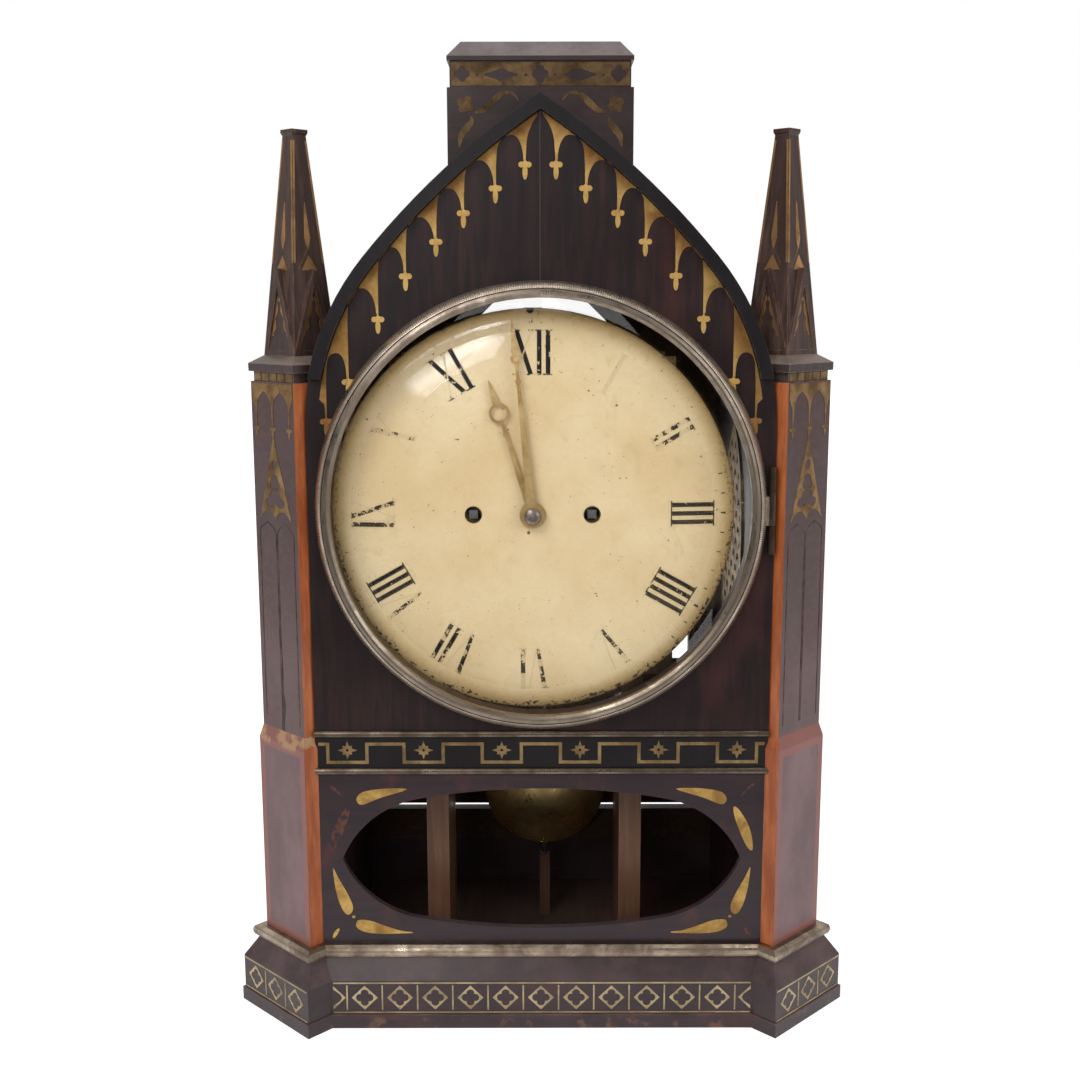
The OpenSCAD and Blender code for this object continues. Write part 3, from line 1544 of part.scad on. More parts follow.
// Strap behind the bell, bent forward over it, with the screw that holds it
module bell_stand() {
    strap_w = 10;
    strap_t = 2.5;
    foot_x = centre_x - 34;
    foot_drop = 16;
    nut_gap = 2;
    crown_z = centre_z + bell_z + bell_h;
    strap_y = bell_y + bell_r + 2;
    foot_z = centre_z + plate_up - foot_drop;
    in_case() color(brass) {
        translate([foot_x - strap_w / 2, plate_back, foot_z])
            cube([strap_w, strap_t, plate_up + centre_z - foot_z]);
        translate([foot_x - strap_w / 2, plate_back, centre_z + plate_up - strap_t])
            cube([strap_w, strap_y + strap_t - plate_back, strap_t]);
        translate([foot_x - strap_w / 2, strap_y, centre_z + plate_up - strap_t])
            cube([centre_x - foot_x + strap_w, strap_t, strap_t + 4]);
        translate([centre_x - strap_w / 2, strap_y, centre_z + plate_up])
            cube([strap_w, strap_t, crown_z + nut_gap + strap_t - plate_up - centre_z]);
        translate([centre_x - strap_w / 2, bell_y - strap_w / 2, crown_z + nut_gap])
            cube([strap_w, strap_y + strap_t - bell_y + strap_w / 2, strap_t]);
        translate([centre_x, bell_y, crown_z - bell_t - 3]) {
            cylinder(h = bell_t + 6, r = bell_hole_r);
            cylinder(h = 2.9, r = 3.4);
        }
        translate([centre_x, bell_y, crown_z + 0.1]) cylinder(h = 2, r = 3.4);
    }
}

// The rack that counts the blows, with its tail towards the snail
module rack() {
    teeth_r = 73;
    tail_l = 27;
    in_case() color(brass) difference() {
        on_arbor(rack_at, snail_y) linear_extrude(hour_y - snail_y - 0.4) {
            circle(4.5);
            rotate(-94) {
                translate([0, -2]) square([teeth_r - 3, 4]);
                intersection() {
                    difference() {
                        circle(teeth_r);
                        circle(teeth_r - 5);
                        for (i = [-6 : 6]) rotate(i * 1.6) translate([teeth_r, 0]) circle(0.9);
                    }
                    polygon([[0, 0], polar(teeth_r * 1.2, -12), polar(teeth_r * 1.2, 12)]);
                }
            }
            rotate(-38) translate([0, -1.6]) square([tail_l, 3.2]);
        }
        on_arbor(rack_at, 0) cylinder(h = plate_y, r = stud_r + arbor_gap);
    }
}

// Board and posts that carry the movement
seat_z = centre_z - plate_down;

module seatboard() {
    color(pine) in_case() translate([centre_x - plate_w, plate_y - 4, seat_z - seat_t])
        cube([2 * plate_w, plate_back + 4 - plate_y + 4, seat_t]);
}

module seat_posts() {
    color(pine) in_case() for (side = [-1, 1])
        translate([centre_x + side * post_pitch / 2 - post_w / 2, plate_y + 1, floor_t])
            cube([post_w, post_d, seat_z - seat_t - floor_t]);
}

rest_gap = 1;

module pendulum_rest_post() {
    top = centre_z + pallet_at[1] - pendulum_l - bob_r - rod_tail - rest_gap;
    color(pine) in_case() translate([centre_x + pallet_at[0] - rest_w / 2, pendulum_y - rest_w / 2, floor_t])
        cube([rest_w, rest_w, top - floor_t]);
}

base_plinth();
floor_board();
brass_beads();
side_panels();
side_frets();
upper_front_panel();
frieze_panel();
lower_front_panel();
arch_rim();
roof_boards();
lower_buttresses();
upper_buttresses();
buttress_caps();
pinnacles();
pedestal();
back_frame();
rear_door_frame();
rear_door_glass();
rear_hinge_frame_leaves();
rear_hinge_door_leaves();
rear_door_latch();
bezel_ring();
bezel_glass();
bezel_hinge();
seatboard();
seat_posts();
pendulum_rest_post();
dial();
front_plate();
back_plate();
plate_pillars();
barrel_arbors();
time_great_wheel();
time_fusee();
time_barrel();
time_line();
strike_great_wheel();
strike_fusee();
strike_barrel();
strike_line();
centre_wheel();
third_wheel();
escape_wheel();
pallets();
cannon_pinion();
minute_wheel();
hour_wheel();
minute_hand();
hour_hand();
back_cock();
pendulum_rod();
pendulum_bob();
pin_wheel();
gathering_wheel();
warning_wheel();
fly();
hammer();
bell();
bell_stand();
rack();
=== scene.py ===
import json
import math

import bpy
from mathutils import Matrix, Vector

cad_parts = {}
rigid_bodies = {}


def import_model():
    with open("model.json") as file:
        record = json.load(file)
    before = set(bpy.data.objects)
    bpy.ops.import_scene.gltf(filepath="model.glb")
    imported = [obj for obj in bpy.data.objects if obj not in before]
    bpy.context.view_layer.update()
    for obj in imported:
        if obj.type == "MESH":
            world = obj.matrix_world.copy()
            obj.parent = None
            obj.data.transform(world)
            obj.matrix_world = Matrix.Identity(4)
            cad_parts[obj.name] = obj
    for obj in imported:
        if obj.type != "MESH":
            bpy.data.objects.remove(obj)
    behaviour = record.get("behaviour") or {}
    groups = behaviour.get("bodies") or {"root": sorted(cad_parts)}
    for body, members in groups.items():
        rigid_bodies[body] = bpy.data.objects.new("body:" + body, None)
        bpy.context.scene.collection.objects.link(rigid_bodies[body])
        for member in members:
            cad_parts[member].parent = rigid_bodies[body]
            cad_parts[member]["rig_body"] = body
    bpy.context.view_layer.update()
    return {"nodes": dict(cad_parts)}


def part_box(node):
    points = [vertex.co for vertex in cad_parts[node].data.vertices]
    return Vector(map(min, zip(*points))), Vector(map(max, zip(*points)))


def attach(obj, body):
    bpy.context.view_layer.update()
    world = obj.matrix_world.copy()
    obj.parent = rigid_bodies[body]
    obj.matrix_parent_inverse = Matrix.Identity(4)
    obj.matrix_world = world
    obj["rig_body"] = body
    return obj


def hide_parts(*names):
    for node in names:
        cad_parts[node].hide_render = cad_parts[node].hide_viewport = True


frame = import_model()
nodes = frame["nodes"]

# Distance from the case's front plane to the middle of the clock, and the middle of the dial, in mm
MIDDLE_Y = 75
DIAL_X, DIAL_Z, BEZEL_Z = -4.2, 272.4, 275.5

# The right half of the front's arch: a short arc from the haunch, then a long one to the crown, in mm
HAUNCH_X, HAUNCH_R, HAUNCH_Z, CROWN_R, TURN = -15.0, 132.0, 315.0, 394.0, math.radians(40)
CROWN_X = HAUNCH_X - (CROWN_R - HAUNCH_R) * math.cos(TURN)
CROWN_Z = HAUNCH_Z - (CROWN_R - HAUNCH_R) * math.sin(TURN)

# Where a corner pier stands to the side of the middle, in mm
PIER_X = 121.6
SIDES = ((-1, "left"), (1, "right"))


def place(x, y, z):
    """A point of the case, measured in mm from its front plane, in the clock's own frame."""
    return Vector((x, y - MIDDLE_Y, z)) / 1000


# Finishes
finishes = {}


class Recipe:
    """The nodes of one finish: a number is set on its socket, and a socket is linked."""

    def __init__(self, tree):
        self.tree = tree

    def add(self, kind, inputs=None, **settings):
        node = self.tree.nodes.new("ShaderNode" + kind)
        for name, value in settings.items():
            setattr(node, name, value)
        for name, value in (inputs or {}).items():
            self.give(node.inputs[name], value)
        return node

    def give(self, socket, value):
        if isinstance(value, bpy.types.NodeSocket):
            self.tree.links.new(value, socket)
        elif socket.type == "RGBA":
            socket.default_value = (*value, 1)
        else:
            socket.default_value = value

    def math(self, operation, *values):
        return self.add("Math", dict(enumerate(values)), operation=operation).outputs[0]

    def all_of(self, operation, values):
        result = values[0]
        for value in values[1:]:
            result = self.math(operation, result, value)
        return result

    def most(self, *values):
        return self.all_of("MAXIMUM", values)

    def times(self, *values):
        return self.all_of("MULTIPLY", values)

    def plus(self, *values):
        return self.all_of("ADD", values)

    def minus(self, value, other):
        return self.math("SUBTRACT", value, other)

    def below(self, value, limit):
        return self.math("LESS_THAN", value, limit)

    def above(self, value, limit):
        return self.math("GREATER_THAN", value, limit)

    def size(self, value):
        return self.math("ABSOLUTE", value)

    def step(self, value, low, high, start=0.0, end=1.0):
        return self.add("MapRange", {0: value, 1: low, 2: high, 3: start, 4: end},
                        interpolation_type="SMOOTHSTEP").outputs[0]

    def blend(self, share, low, high):
        return self.add("Mix", {0: share, 6: low, 7: high}, data_type="RGBA").outputs[2]

    def noise(self, vector, scale, detail=3.0, rough=0.55, distortion=0.0):
        return self.add("TexNoise", {"Vector": vector, "Scale": scale, "Detail": detail,
                                     "Roughness": rough, "Distortion": distortion}).outputs[0]

    def stretched(self, vector, scale, turn=(0, 0, 0), shift=(0, 0, 0)):
        return self.add("Mapping", {"Vector": vector, "Scale": scale, "Rotation": turn,
                                    "Location": shift}).outputs[0]

    def patches(self, spot, scale, low, high, start=0.0, end=1.0, rough=0.6, detail=4, stretch=(1, 1, 1)):
        """Clouds of noise between two levels, which may be drawn out."""
        cloud = self.noise(self.stretched(spot, stretch), scale, detail, rough)
        return self.step(cloud, low, high, start, end)

    def length(self, vector):
        return self.add("VectorMath", {0: vector}, operation="LENGTH").outputs["Value"]

    def around(self, spot, x, z):
        """The position seen from an axis through the clock from front to back, at x and z in mm."""
        return self.stretched(spot, (1, 0, 1), shift=(-x / 1000, 0, -z / 1000))

    def far_from(self, spot, x, z):
        return self.length(self.around(spot, x, z))

    def spread(self, vector):
        return self.add("SeparateXYZ", {0: vector}).outputs

    def joined(self, x, y, z):
        return self.add("CombineXYZ", {0: x, 1: y, 2: z}).outputs[0]

    def spot(self):
        """Position on the object, in metres."""
        return self.add("TexCoord").outputs["Object"]

    def facing(self):
        """Direction that the surface faces, in the object's frame."""
        return self.add("TexCoord").outputs["Normal"]

    def use(self, group, **inputs):
        return self.add("Group", inputs, node_tree=group).outputs


# What a group of nodes for a whole surface gives: c is a colour, f a number and v a vector
SKIN = {"Color": "c", "Roughness": "f", "Height": "f"}


def start_group(name, takes, gives):
    group = bpy.data.node_groups.new(name, "ShaderNodeTree")
    kinds = {"v": "NodeSocketVector", "c": "NodeSocketColor", "f": "NodeSocketFloat"}
    for side, sockets in (("INPUT", takes), ("OUTPUT", gives)):
        for word, kind in sockets.items():
            group.interface.new_socket(word, in_out=side, socket_type=kinds[kind])
    return Recipe(group), group.nodes.new("NodeGroupInput").outputs, group.nodes.new("NodeGroupOutput").inputs


def wood_figure():
    """Streaks that run along z, pores and cloudy patches between two colours."""
    r, take, give = start_group("wood_figure", {"Place": "v", "Dark": "c", "Light": "c", "Share": "f"}, SKIN)
    streak = r.noise(r.stretched(take["Place"], (1, 1, 0.09)), 260, 5, 0.6, 0.4)
    pores = r.noise(r.stretched(take["Place"], (1, 1, 0.04)), 1900, 3, 0.7)
    cloud = r.noise(take["Place"], 22, 3, 0.5)
    light = r.times(r.step(streak, 0.38, 0.72), r.step(cloud, 0.3, 0.75, 0.25), take["Share"])
    colour = r.blend(light, take["Dark"], take["Light"])
    r.give(give["Color"], r.blend(r.step(pores, 0.62, 0.8, 0.0, 0.35), colour, (0.006, 0.004, 0.004)))
    r.give(give["Roughness"], r.plus(r.step(cloud, 0.3, 0.7, 0.28, 0.42), r.step(pores, 0.5, 0.8, 0.0, 0.12)))
    r.give(give["Height"], r.minus(r.times(streak, 0.35), r.step(pores, 0.6, 0.78, 0.0, 0.5)))
    return r.tree


def edge_rub():
    """Where the edges have lost their finish: 1 on a worn edge and 0 on the flat."""
    r, take, give = start_group("edge_rub", {"Place": "v", "Radius": "f", "Wear": "f"}, {"Mask": "f"})
    rounded = r.add("Bevel", {"Radius": take["Radius"]}, samples=3).outputs[0]
    true_way = r.add("NewGeometry").outputs["Normal"]
    turn = r.add("VectorMath", {0: rounded, 1: true_way}, operation="DOT_PRODUCT").outputs["Value"]
    patchy = r.patches(take["Place"], 170, 0.34, 0.62, rough=0.65)
    r.give(give["Mask"], r.times(r.step(r.minus(1.0, turn), 0.02, 0.16), patchy, take["Wear"]))
    return r.tree


def dust_and_top_sheen():
    """Dust that settles on what faces up, with painted light from above on the same faces, and a thin film of
    both in clouds elsewhere.
    """
    r, take, give = start_group("dust_and_top_sheen", {"Place": "v", "Facing": "v", "Amount": "f"}, {"Mask": "f"})
    up = r.step(r.spread(take["Facing"])[2], 0.2, 0.95, 0.12, 1.0)
    cloud = r.patches(take["Place"], 45, 0.3, 0.72, 0.25, rough=0.62, detail=5)
    r.give(give["Mask"], r.times(up, cloud, take["Amount"]))
    return r.tree


def tarnish():
    """Brass or steel between bright and dull, with spots and fine rubbing marks."""
    r, take, give = start_group("tarnish", {"Place": "v", "Bright": "c", "Dull": "c", "Share": "f"}, SKIN)
    cloud = r.noise(take["Place"], 75, 5, 0.6, 0.5)
    spots = r.noise(take["Place"], 620, 3, 0.6)
    rubs = r.noise(r.stretched(take["Place"], (1, 1, 0.12), (0.3, 0.5, 0.2)), 1500, 2, 0.6)
    dull = r.times(r.step(cloud, 0.28, 0.68, 0.2, 1.0), take["Share"])
    colour = r.blend(dull, take["Bright"], take["Dull"])
    r.give(give["Color"], r.blend(r.step(spots, 0.62, 0.76, 0.0, 0.55), colour, (0.035, 0.024, 0.014)))
    r.give(give["Roughness"], r.plus(r.step(cloud, 0.3, 0.7, 0.24, 0.46), r.step(rubs, 0.4, 0.7, 0.0, 0.1)))
    r.give(give["Height"], r.plus(r.times(rubs, 0.4), r.times(spots, 0.5)))
    return r.tree


def dial_paint():
    """Cream paint on iron: stained, chipped at the rim and pinholes, with a crazed skin."""
    r, take, give = start_group("dial_paint", {"Place": "v"}, SKIN)
    far = r.far_from(take["Place"], DIAL_X, DIAL_Z)
    cloud = r.noise(take["Place"], 16, 5, 0.6)
    stain = r.noise(take["Place"], 70, 5, 0.65, 0.6)
    specks = r.noise(take["Place"], 520, 3, 0.6)
    ragged = r.plus(far, r.times(r.minus(stain, 0.5), 0.012))
    cream = r.blend(r.step(cloud, 0.32, 0.7), (0.70, 0.52, 0.27), (0.80, 0.64, 0.38))
    cream = r.blend(r.step(stain, 0.56, 0.78, 0.0, 0.4), cream, (0.44, 0.31, 0.13))
    rim = r.blend(r.step(far, 0.092, 0.1025, 0.0, 0.7), cream, (0.50, 0.31, 0.10))
    lower = r.step(r.spread(take["Place"])[2], 0.33, 0.22, 0.15, 1.0)
    edge = r.times(r.step(specks, 0.53, 0.56), r.step(ragged, 0.0995, 0.1005), lower)
    chips = r.most(edge, r.step(specks, 0.70, 0.715), r.step(ragged, 0.1035, 0.1048))
    cracks = r.add("TexVoronoi", {"Vector": take["Place"], "Scale": 330, "Randomness": 1.0},
                   feature="DISTANCE_TO_EDGE").outputs["Distance"]
    crazed = r.times(r.step(cracks, 0.0, 0.035, 1.0, 0.0), r.step(cloud, 0.5, 0.75, 0.0, 0.22))
    colour = r.blend(crazed, rim, (0.25, 0.17, 0.08))
    r.give(give["Color"], r.blend(chips, colour, (0.022, 0.015, 0.011)))
    r.give(give["Roughness"], r.plus(r.step(stain, 0.3, 0.7, 0.22, 0.36), r.times(chips, 0.4)))
    r.give(give["Height"], r.minus(r.times(cloud, 0.5), r.plus(chips, crazed)))
    return r.tree


# From here on these names are the groups of nodes that the functions made
wood_figure, edge_rub, dust_and_top_sheen, tarnish, dial_paint = (
    make() for make in (wood_figure, edge_rub, dust_and_top_sheen, tarnish, dial_paint))


def start_finish(name):
    material = finishes[name] = bpy.data.materials.new(name)
    material.use_nodes = True
    return Recipe(material.node_tree), material.node_tree.nodes["Principled BSDF"]


def finish_with(r, shader, colour, rough, height=None, relief=0.3, fineness=0.0002, **more):
    r.give(shader.inputs["Base Color"], colour)
    r.give(shader.inputs["Roughness"], rough)
    if height is not None:
        bump = r.add("Bump", {"Height": height, "Strength": relief, "Distance": fineness})
        r.give(shader.inputs["Normal"], bump.outputs[0])
    for name, value in more.items():
        r.give(shader.inputs[name.replace("_", " ")], value)


def wood(name, dark, light, share=0.8, way="up", edge=(0.10, 0.055, 0.03), wear=0.5, dust_and_sheen=0.35,
         coat=0.25, extra=None, dust_and_sheen_colour=(0.085, 0.055, 0.056)):
    """Polished or plain wood. extra adds this piece's own marks to its colour."""
    r, shader = start_finish(name)
    spot = r.spot()
    turn = {"up": (0, 0, 0), "across": (0, math.pi / 2, 0), "deep": (math.pi / 2, 0, 0)}[way]
    figure = r.use(wood_figure, Place=r.stretched(spot, (1, 1, 1), turn), Dark=dark, Light=light, Share=share)
    colour = extra(r, spot, figure["Color"]) if extra else figure["Color"]
    colour = r.blend(r.use(edge_rub, Place=spot, Radius=0.0006, Wear=wear)["Mask"], colour, edge)
    # Dust on what faces up, made paler as painted light from above; the dust also roughens the surface
    dust_and_sheen_mask = r.use(dust_and_top_sheen, Place=spot, Facing=r.facing(), Amount=dust_and_sheen)["Mask"]
    rough = r.plus(figure["Roughness"], r.times(dust_and_sheen_mask, 0.35))
    finish_with(r, shader, r.blend(dust_and_sheen_mask, colour, dust_and_sheen_colour), rough, figure["Height"], 0.25, 0.00015,
                Coat_Weight=coat, Coat_Roughness=0.22, Specular_IOR_Level=0.26)


def metal(name, bright, dull, share=0.6, rough=0.0, relief=0.2, extra=None, arbor=None):
    """Brass, steel or bell metal. arbor is where a brass wheel's steel arbor is: x, z and radius."""
    r, shader = start_finish(name)
    spot = r.spot()
    skin = r.use(tarnish, Place=spot, Bright=bright, Dull=dull, Share=share)
    colour, height = skin["Color"], skin["Height"]
    if arbor:
        x, z, radius = arbor
        on_arbor = r.below(r.far_from(spot, DIAL_X + x, DIAL_Z + z), radius / 1000)
        colour = r.blend(on_arbor, colour, (0.30, 0.29, 0.28))
    if extra:
        colour, height = extra(r, spot, colour, height)
    finish_with(r, shader, colour, r.plus(skin["Roughness"], rough), height, relief, 0.0001, Metallic=1.0)


# Marks of each finish
BLACK_JOINT = (0.008, 0.005, 0.006)


def pier_marks(half, low, high, border, banded, broken, bloom_and_sheen):
    """A corner pier: red inner faces, and outer faces with bloom of old polish and painted sheen,
    crossbanding and the veneer's joints.
    """
    def marks(r, spot, colour):
        x, _, z = r.spread(spot)
        outward = r.times(r.spread(r.facing())[0], r.math("SIGN", x))
        inner, front = r.below(outward, -0.3), r.above(outward, 0.3)
        along = r.times(r.minus(r.size(x), (PIER_X + half / 2) / 1000), math.sqrt(2))
        side = half * 0.7071 - border
        hem = r.most(r.step(r.size(along), side / 1000, (side + 0.3) / 1000),
                     r.step(z, (high - border) / 1000, (high - border + 0.3) / 1000),
                     r.step(z, (low + border) / 1000, (low + border - 0.3) / 1000))
        rows = r.times(z, 1000 / 23)
        jog = r.noise(r.joined(0.0, 0.0, rows), 1.0, 0)
        joint = r.below(r.math("FRACT", r.plus(rows, r.times(jog, 0.5))), 0.02)
        streaks = r.patches(spot, 210, 0.35, 0.7, stretch=(1, 1, 0.15))
        colour = r.blend(r.times(joint, 0.5, front), colour, BLACK_JOINT)
        # Pinkish grey patches on the outer faces: bloom of old polish together with a painted sheen of
        # reflected light, stronger lower down on the upper piers
        worn = r.patches(spot, 38, 0.3, 0.7, 0.55, stretch=(1, 1, 0.6))
        if not broken:
            worn = r.times(worn, r.step(z, (0.6 * high + 0.4 * low) / 1000, low / 1000, 0.35, 1.0))
        colour = r.blend(r.times(worn, front, bloom_and_sheen), colour, (0.31, 0.175, 0.18))
        colour = r.blend(r.times(hem, front, banded), colour, (0.27, 0.095, 0.075))
        red = r.blend(streaks, (0.33, 0.075, 0.018), (0.52, 0.15, 0.045))
        colour = r.blend(r.times(inner, 0.92), colour, red)
        left = r.below(x, 0.0)
        if broken:
            torn = r.times(r.patches(spot, 95, 0.42, 0.55), r.step(z, 0.1475, 0.1515), left)
            return r.blend(torn, colour, (0.40, 0.235, 0.115))
        wander = r.times(r.minus(r.noise(r.stretched(spot, (1, 1, 0.6)), 90, 2), 0.5), 0.006)
        crack = r.below(r.size(r.plus(along, 0.0005, wander)), r.step(z, 0.160, 0.218, 0.0017, 0.0))
        return r.blend(r.times(crack, left, front), colour, (0.004, 0.003, 0.003))
    return marks


def front_joints(r, spot, colour):
    """The joint down the middle of the upper front, and reddish patches in its veneer."""
    red = r.patches(spot, 34, 0.52, 0.74, 0.0, 0.55, stretch=(1, 1, 0.35))
    seam = r.below(r.size(r.plus(r.spread(spot)[0], 0.0003)), 0.00022)
    return r.blend(r.times(seam, 0.6), r.blend(red, colour, (0.060, 0.017, 0.014)), (0.09, 0.06, 0.055))


def lower_marks(r, spot, colour):
    """Red scrapes on the lower front."""
    red = r.patches(spot, 60, 0.56, 0.74, 0.0, 0.6, 0.62, stretch=(1, 1, 0.5))
    return r.blend(red, colour, (0.085, 0.023, 0.020))


def plinth_marks(r, spot, colour):
    """Bare wood along the plinth's foot, and red scrapes."""
    foot = r.step(r.spread(spot)[2], 0.0075, 0.005)
    bare = r.times(r.patches(spot, 60, 0.53, 0.62, rough=0.62, detail=5), foot, 0.8)
    red = r.patches(spot, 75, 0.57, 0.72, 0.0, 0.5, 0.62, stretch=(0.4, 1, 1))
    return r.blend(red, r.blend(bare, colour, (0.16, 0.075, 0.04)), (0.10, 0.028, 0.026))


def waves(r, far, pitch):
    """Fine rings round an axis, a pitch apart in mm."""
    return r.math("SINE", r.times(far, 2 * math.pi * 1000 / pitch))


def turned_rings(x, z, pitch, depth):
    """Rings left by the lathe."""
    def rings(r, spot, colour, height):
        return colour, r.plus(height, r.times(waves(r, r.far_from(spot, x, z), pitch), depth))
    return rings


def reeded(x, z, count, r_low, r_high):
    """Small reeds across a ring, as on a milled edge, with painted shade between the reeds and in a groove
    inside them, and darker bands either side.
    """
    def reeds(r, spot, colour, height):
        off = r.around(spot, x, z)
        far = r.length(off)
        sx, _, sz = r.spread(off)

        def edge(near, then, *levels):
            return r.step(far, (r_low + near) / 1000, (r_low + then) / 1000, *levels)
        wave = r.math("SINE", r.times(r.math("ARCTAN2", sz, sx), float(count)))
        band = r.times(edge(0, 0.3), r.step(far, r_high / 1000, (r_high - 0.3) / 1000))
        groove = r.times(edge(-0.9, -0.6), edge(0, -0.3))
        knuckle = r.step(far, (r_high + 0.4) / 1000, (r_high + 0.8) / 1000, 0.0, 0.85)
        # Painted shade in the hollows between the reeds
        colour = r.blend(r.times(r.step(wave, 0.2, -0.9), band, 0.45), colour, (0.045, 0.036, 0.028))
        # Darker inside the groove and beyond the outer edge of the reeds
        colour = r.blend(edge(-0.2, -0.6, 0.0, 0.55), colour, (0.10, 0.078, 0.055))
        colour = r.blend(knuckle, colour, (0.06, 0.042, 0.030))
        # Painted shade in the groove
        colour = r.blend(r.times(groove, 0.9), colour, (0.012, 0.009, 0.007))
        raised = r.plus(height, r.times(wave, band, 1.2), r.times(waves(r, far, 1.9), 0.5))
        return colour, r.minus(raised, r.times(groove, 3.0))
    return reeds


def arcade_marks(r, spot, colour, height):
    """Brown patina along the arch's rim, which leaves the hanging points bright."""
    x, _, z = r.spread(spot)
    right_half = r.joined(r.size(x), 0.0, z)

    def depth(centre_x, centre_z, radius):
        return r.minus(radius / 1000, r.far_from(right_half, centre_x, centre_z))
    crown = r.above(z, (HAUNCH_Z + HAUNCH_R * math.sin(TURN)) / 1000)
    deep = r.plus(r.times(depth(CROWN_X, CROWN_Z, CROWN_R), crown),
                  r.times(depth(HAUNCH_X, HAUNCH_Z, HAUNCH_R), r.minus(1.0, crown)))
    brown = r.times(r.step(deep, 0.021, 0.009), r.patches(spot, 55, 0.3, 0.62, 0.35, 0.9))
    return r.blend(brown, colour, (0.30, 0.135, 0.045)), height


def bead_marks(r, spot, colour, height):
    """The two upper beads are nearly black, and the one round the base is rubbed bright."""
    return r.blend(r.step(r.spread(spot)[2], 0.125, 0.130, 0.0, 0.55), colour, (0.045, 0.026, 0.018)), height


# Woods: dark and light colours, the share of light, and the way of the grain
# The pale colours on the tops of the plinth, caps and pedestal are dust together with painted light from
# above
wood("rosewood_front", (0.014, 0.0085, 0.0095), (0.058, 0.021, 0.016), 0.6, extra=front_joints, coat=0.12)
wood("rosewood_lower", (0.024, 0.015, 0.019), (0.050, 0.023, 0.024), 0.7, "across", extra=lower_marks,
     coat=0.2, dust_and_sheen=0.5)
wood("rosewood_side", (0.020, 0.010, 0.010), (0.075, 0.026, 0.018), 0.9)
wood("rosewood_plinth", (0.028, 0.018, 0.022), (0.060, 0.030, 0.032), 0.7, "across", extra=plinth_marks,
     wear=0.9, dust_and_sheen=1.0, dust_and_sheen_colour=(0.21, 0.13, 0.12))
wood("lower_pier", (0.032, 0.016, 0.020), (0.070, 0.026, 0.026), 0.8, "across", wear=0.9,
     extra=pier_marks(28.4, 44, 151, 4.2, 0.85, True, 0.62))
wood("upper_pier", (0.034, 0.015, 0.014), (0.095, 0.036, 0.027), 0.8, "across", wear=0.7,
     extra=pier_marks(26, 157.7, 339, 0.6, 0.3, False, 0.34))
wood("ebonised", (0.0090, 0.0075, 0.0085), (0.018, 0.012, 0.013), 0.6, edge=(0.11, 0.085, 0.075), wear=0.75,
     coat=0.06, dust_and_sheen=0.2)
wood("ebonised_cap", (0.034, 0.022, 0.022), (0.075, 0.048, 0.044), 0.7, edge=(0.34, 0.25, 0.19), wear=1.0,
     dust_and_sheen=1.0, dust_and_sheen_colour=(0.20, 0.145, 0.115))
wood("spire_wood", (0.042, 0.025, 0.021), (0.135, 0.080, 0.062), 0.85, edge=(0.34, 0.17, 0.08), wear=1.0,
     dust_and_sheen=0.7, coat=0.15)
wood("pedestal_wood", (0.020, 0.011, 0.011), (0.045, 0.022, 0.018), 0.6, "across", dust_and_sheen=0.8, coat=0.1,
     dust_and_sheen_colour=(0.24, 0.18, 0.17))
wood("old_pine", (0.13, 0.075, 0.042), (0.26, 0.165, 0.095), 0.9, edge=(0.30, 0.2, 0.12), dust_and_sheen=0.5, coat=0.0)
wood("post_wood", (0.115, 0.055, 0.032), (0.20, 0.105, 0.062), 0.9, edge=(0.26, 0.15, 0.09), dust_and_sheen=0.3,
     coat=0.0)
wood("stained_oak", (0.045, 0.025, 0.016), (0.10, 0.058, 0.034), 0.9, "deep", dust_and_sheen=0.6, coat=0.0)

# Metals: bright and dull colours, the share of dull, and how much rougher than polished
metals = {
    "hinge_brass": ((0.34, 0.28, 0.19), (0.09, 0.07, 0.05), 0.9),
    "dark_hinge": ((0.16, 0.115, 0.085), (0.045, 0.030, 0.022), 0.9, 0.1),
    "inlay_brass": ((0.90, 0.60, 0.20), (0.32, 0.18, 0.055), 0.85, 0.2),
    "inlay_frieze": ((0.60, 0.42, 0.20), (0.20, 0.125, 0.06), 0.85, 0.2),
    "inlay_old": ((0.52, 0.33, 0.15), (0.15, 0.09, 0.045), 0.9, 0.22),
    "inlay_dark": ((0.30, 0.19, 0.09), (0.085, 0.052, 0.030), 0.9, 0.22),
    "inlay_spire": ((0.66, 0.38, 0.17), (0.26, 0.145, 0.06), 0.75, 0.22),
    "inlay_faded": ((0.20, 0.145, 0.115), (0.055, 0.038, 0.034), 0.9, 0.22),
    "inlay_plinth": ((0.66, 0.53, 0.32), (0.34, 0.26, 0.16), 0.85, 0.2),
    "fret_brass": ((0.48, 0.33, 0.13), (0.13, 0.088, 0.042), 0.8),
    "plate_brass": ((0.55, 0.38, 0.15), (0.20, 0.13, 0.055), 0.55),
    "hand_brass": ((0.76, 0.55, 0.26), (0.38, 0.24, 0.09), 0.8, 0.2),
    "bell_metal": ((0.58, 0.44, 0.23), (0.28, 0.2, 0.1), 0.6),
    "steel": ((0.42, 0.41, 0.40), (0.16, 0.14, 0.125), 0.6),
    "cap_steel": ((0.42, 0.36, 0.32), (0.18, 0.145, 0.12), 0.7),
    "blue_steel": ((0.06, 0.075, 0.13), (0.03, 0.03, 0.04), 0.6),
}
for name, values in metals.items():
    metal(name, *values)
metal("bead_brass", (0.58, 0.47, 0.36), (0.12, 0.085, 0.060), 0.85, extra=bead_marks)
metal("bezel_brass", (0.80, 0.67, 0.54), (0.36, 0.28, 0.215), 0.75, relief=0.35,
      extra=reeded(0, BEZEL_Z, 620, 109.6, 113.0))
metal("arcade_brass", (1.0, 0.68, 0.24), (0.48, 0.28, 0.09), 0.7, 0.2, extra=arcade_marks)
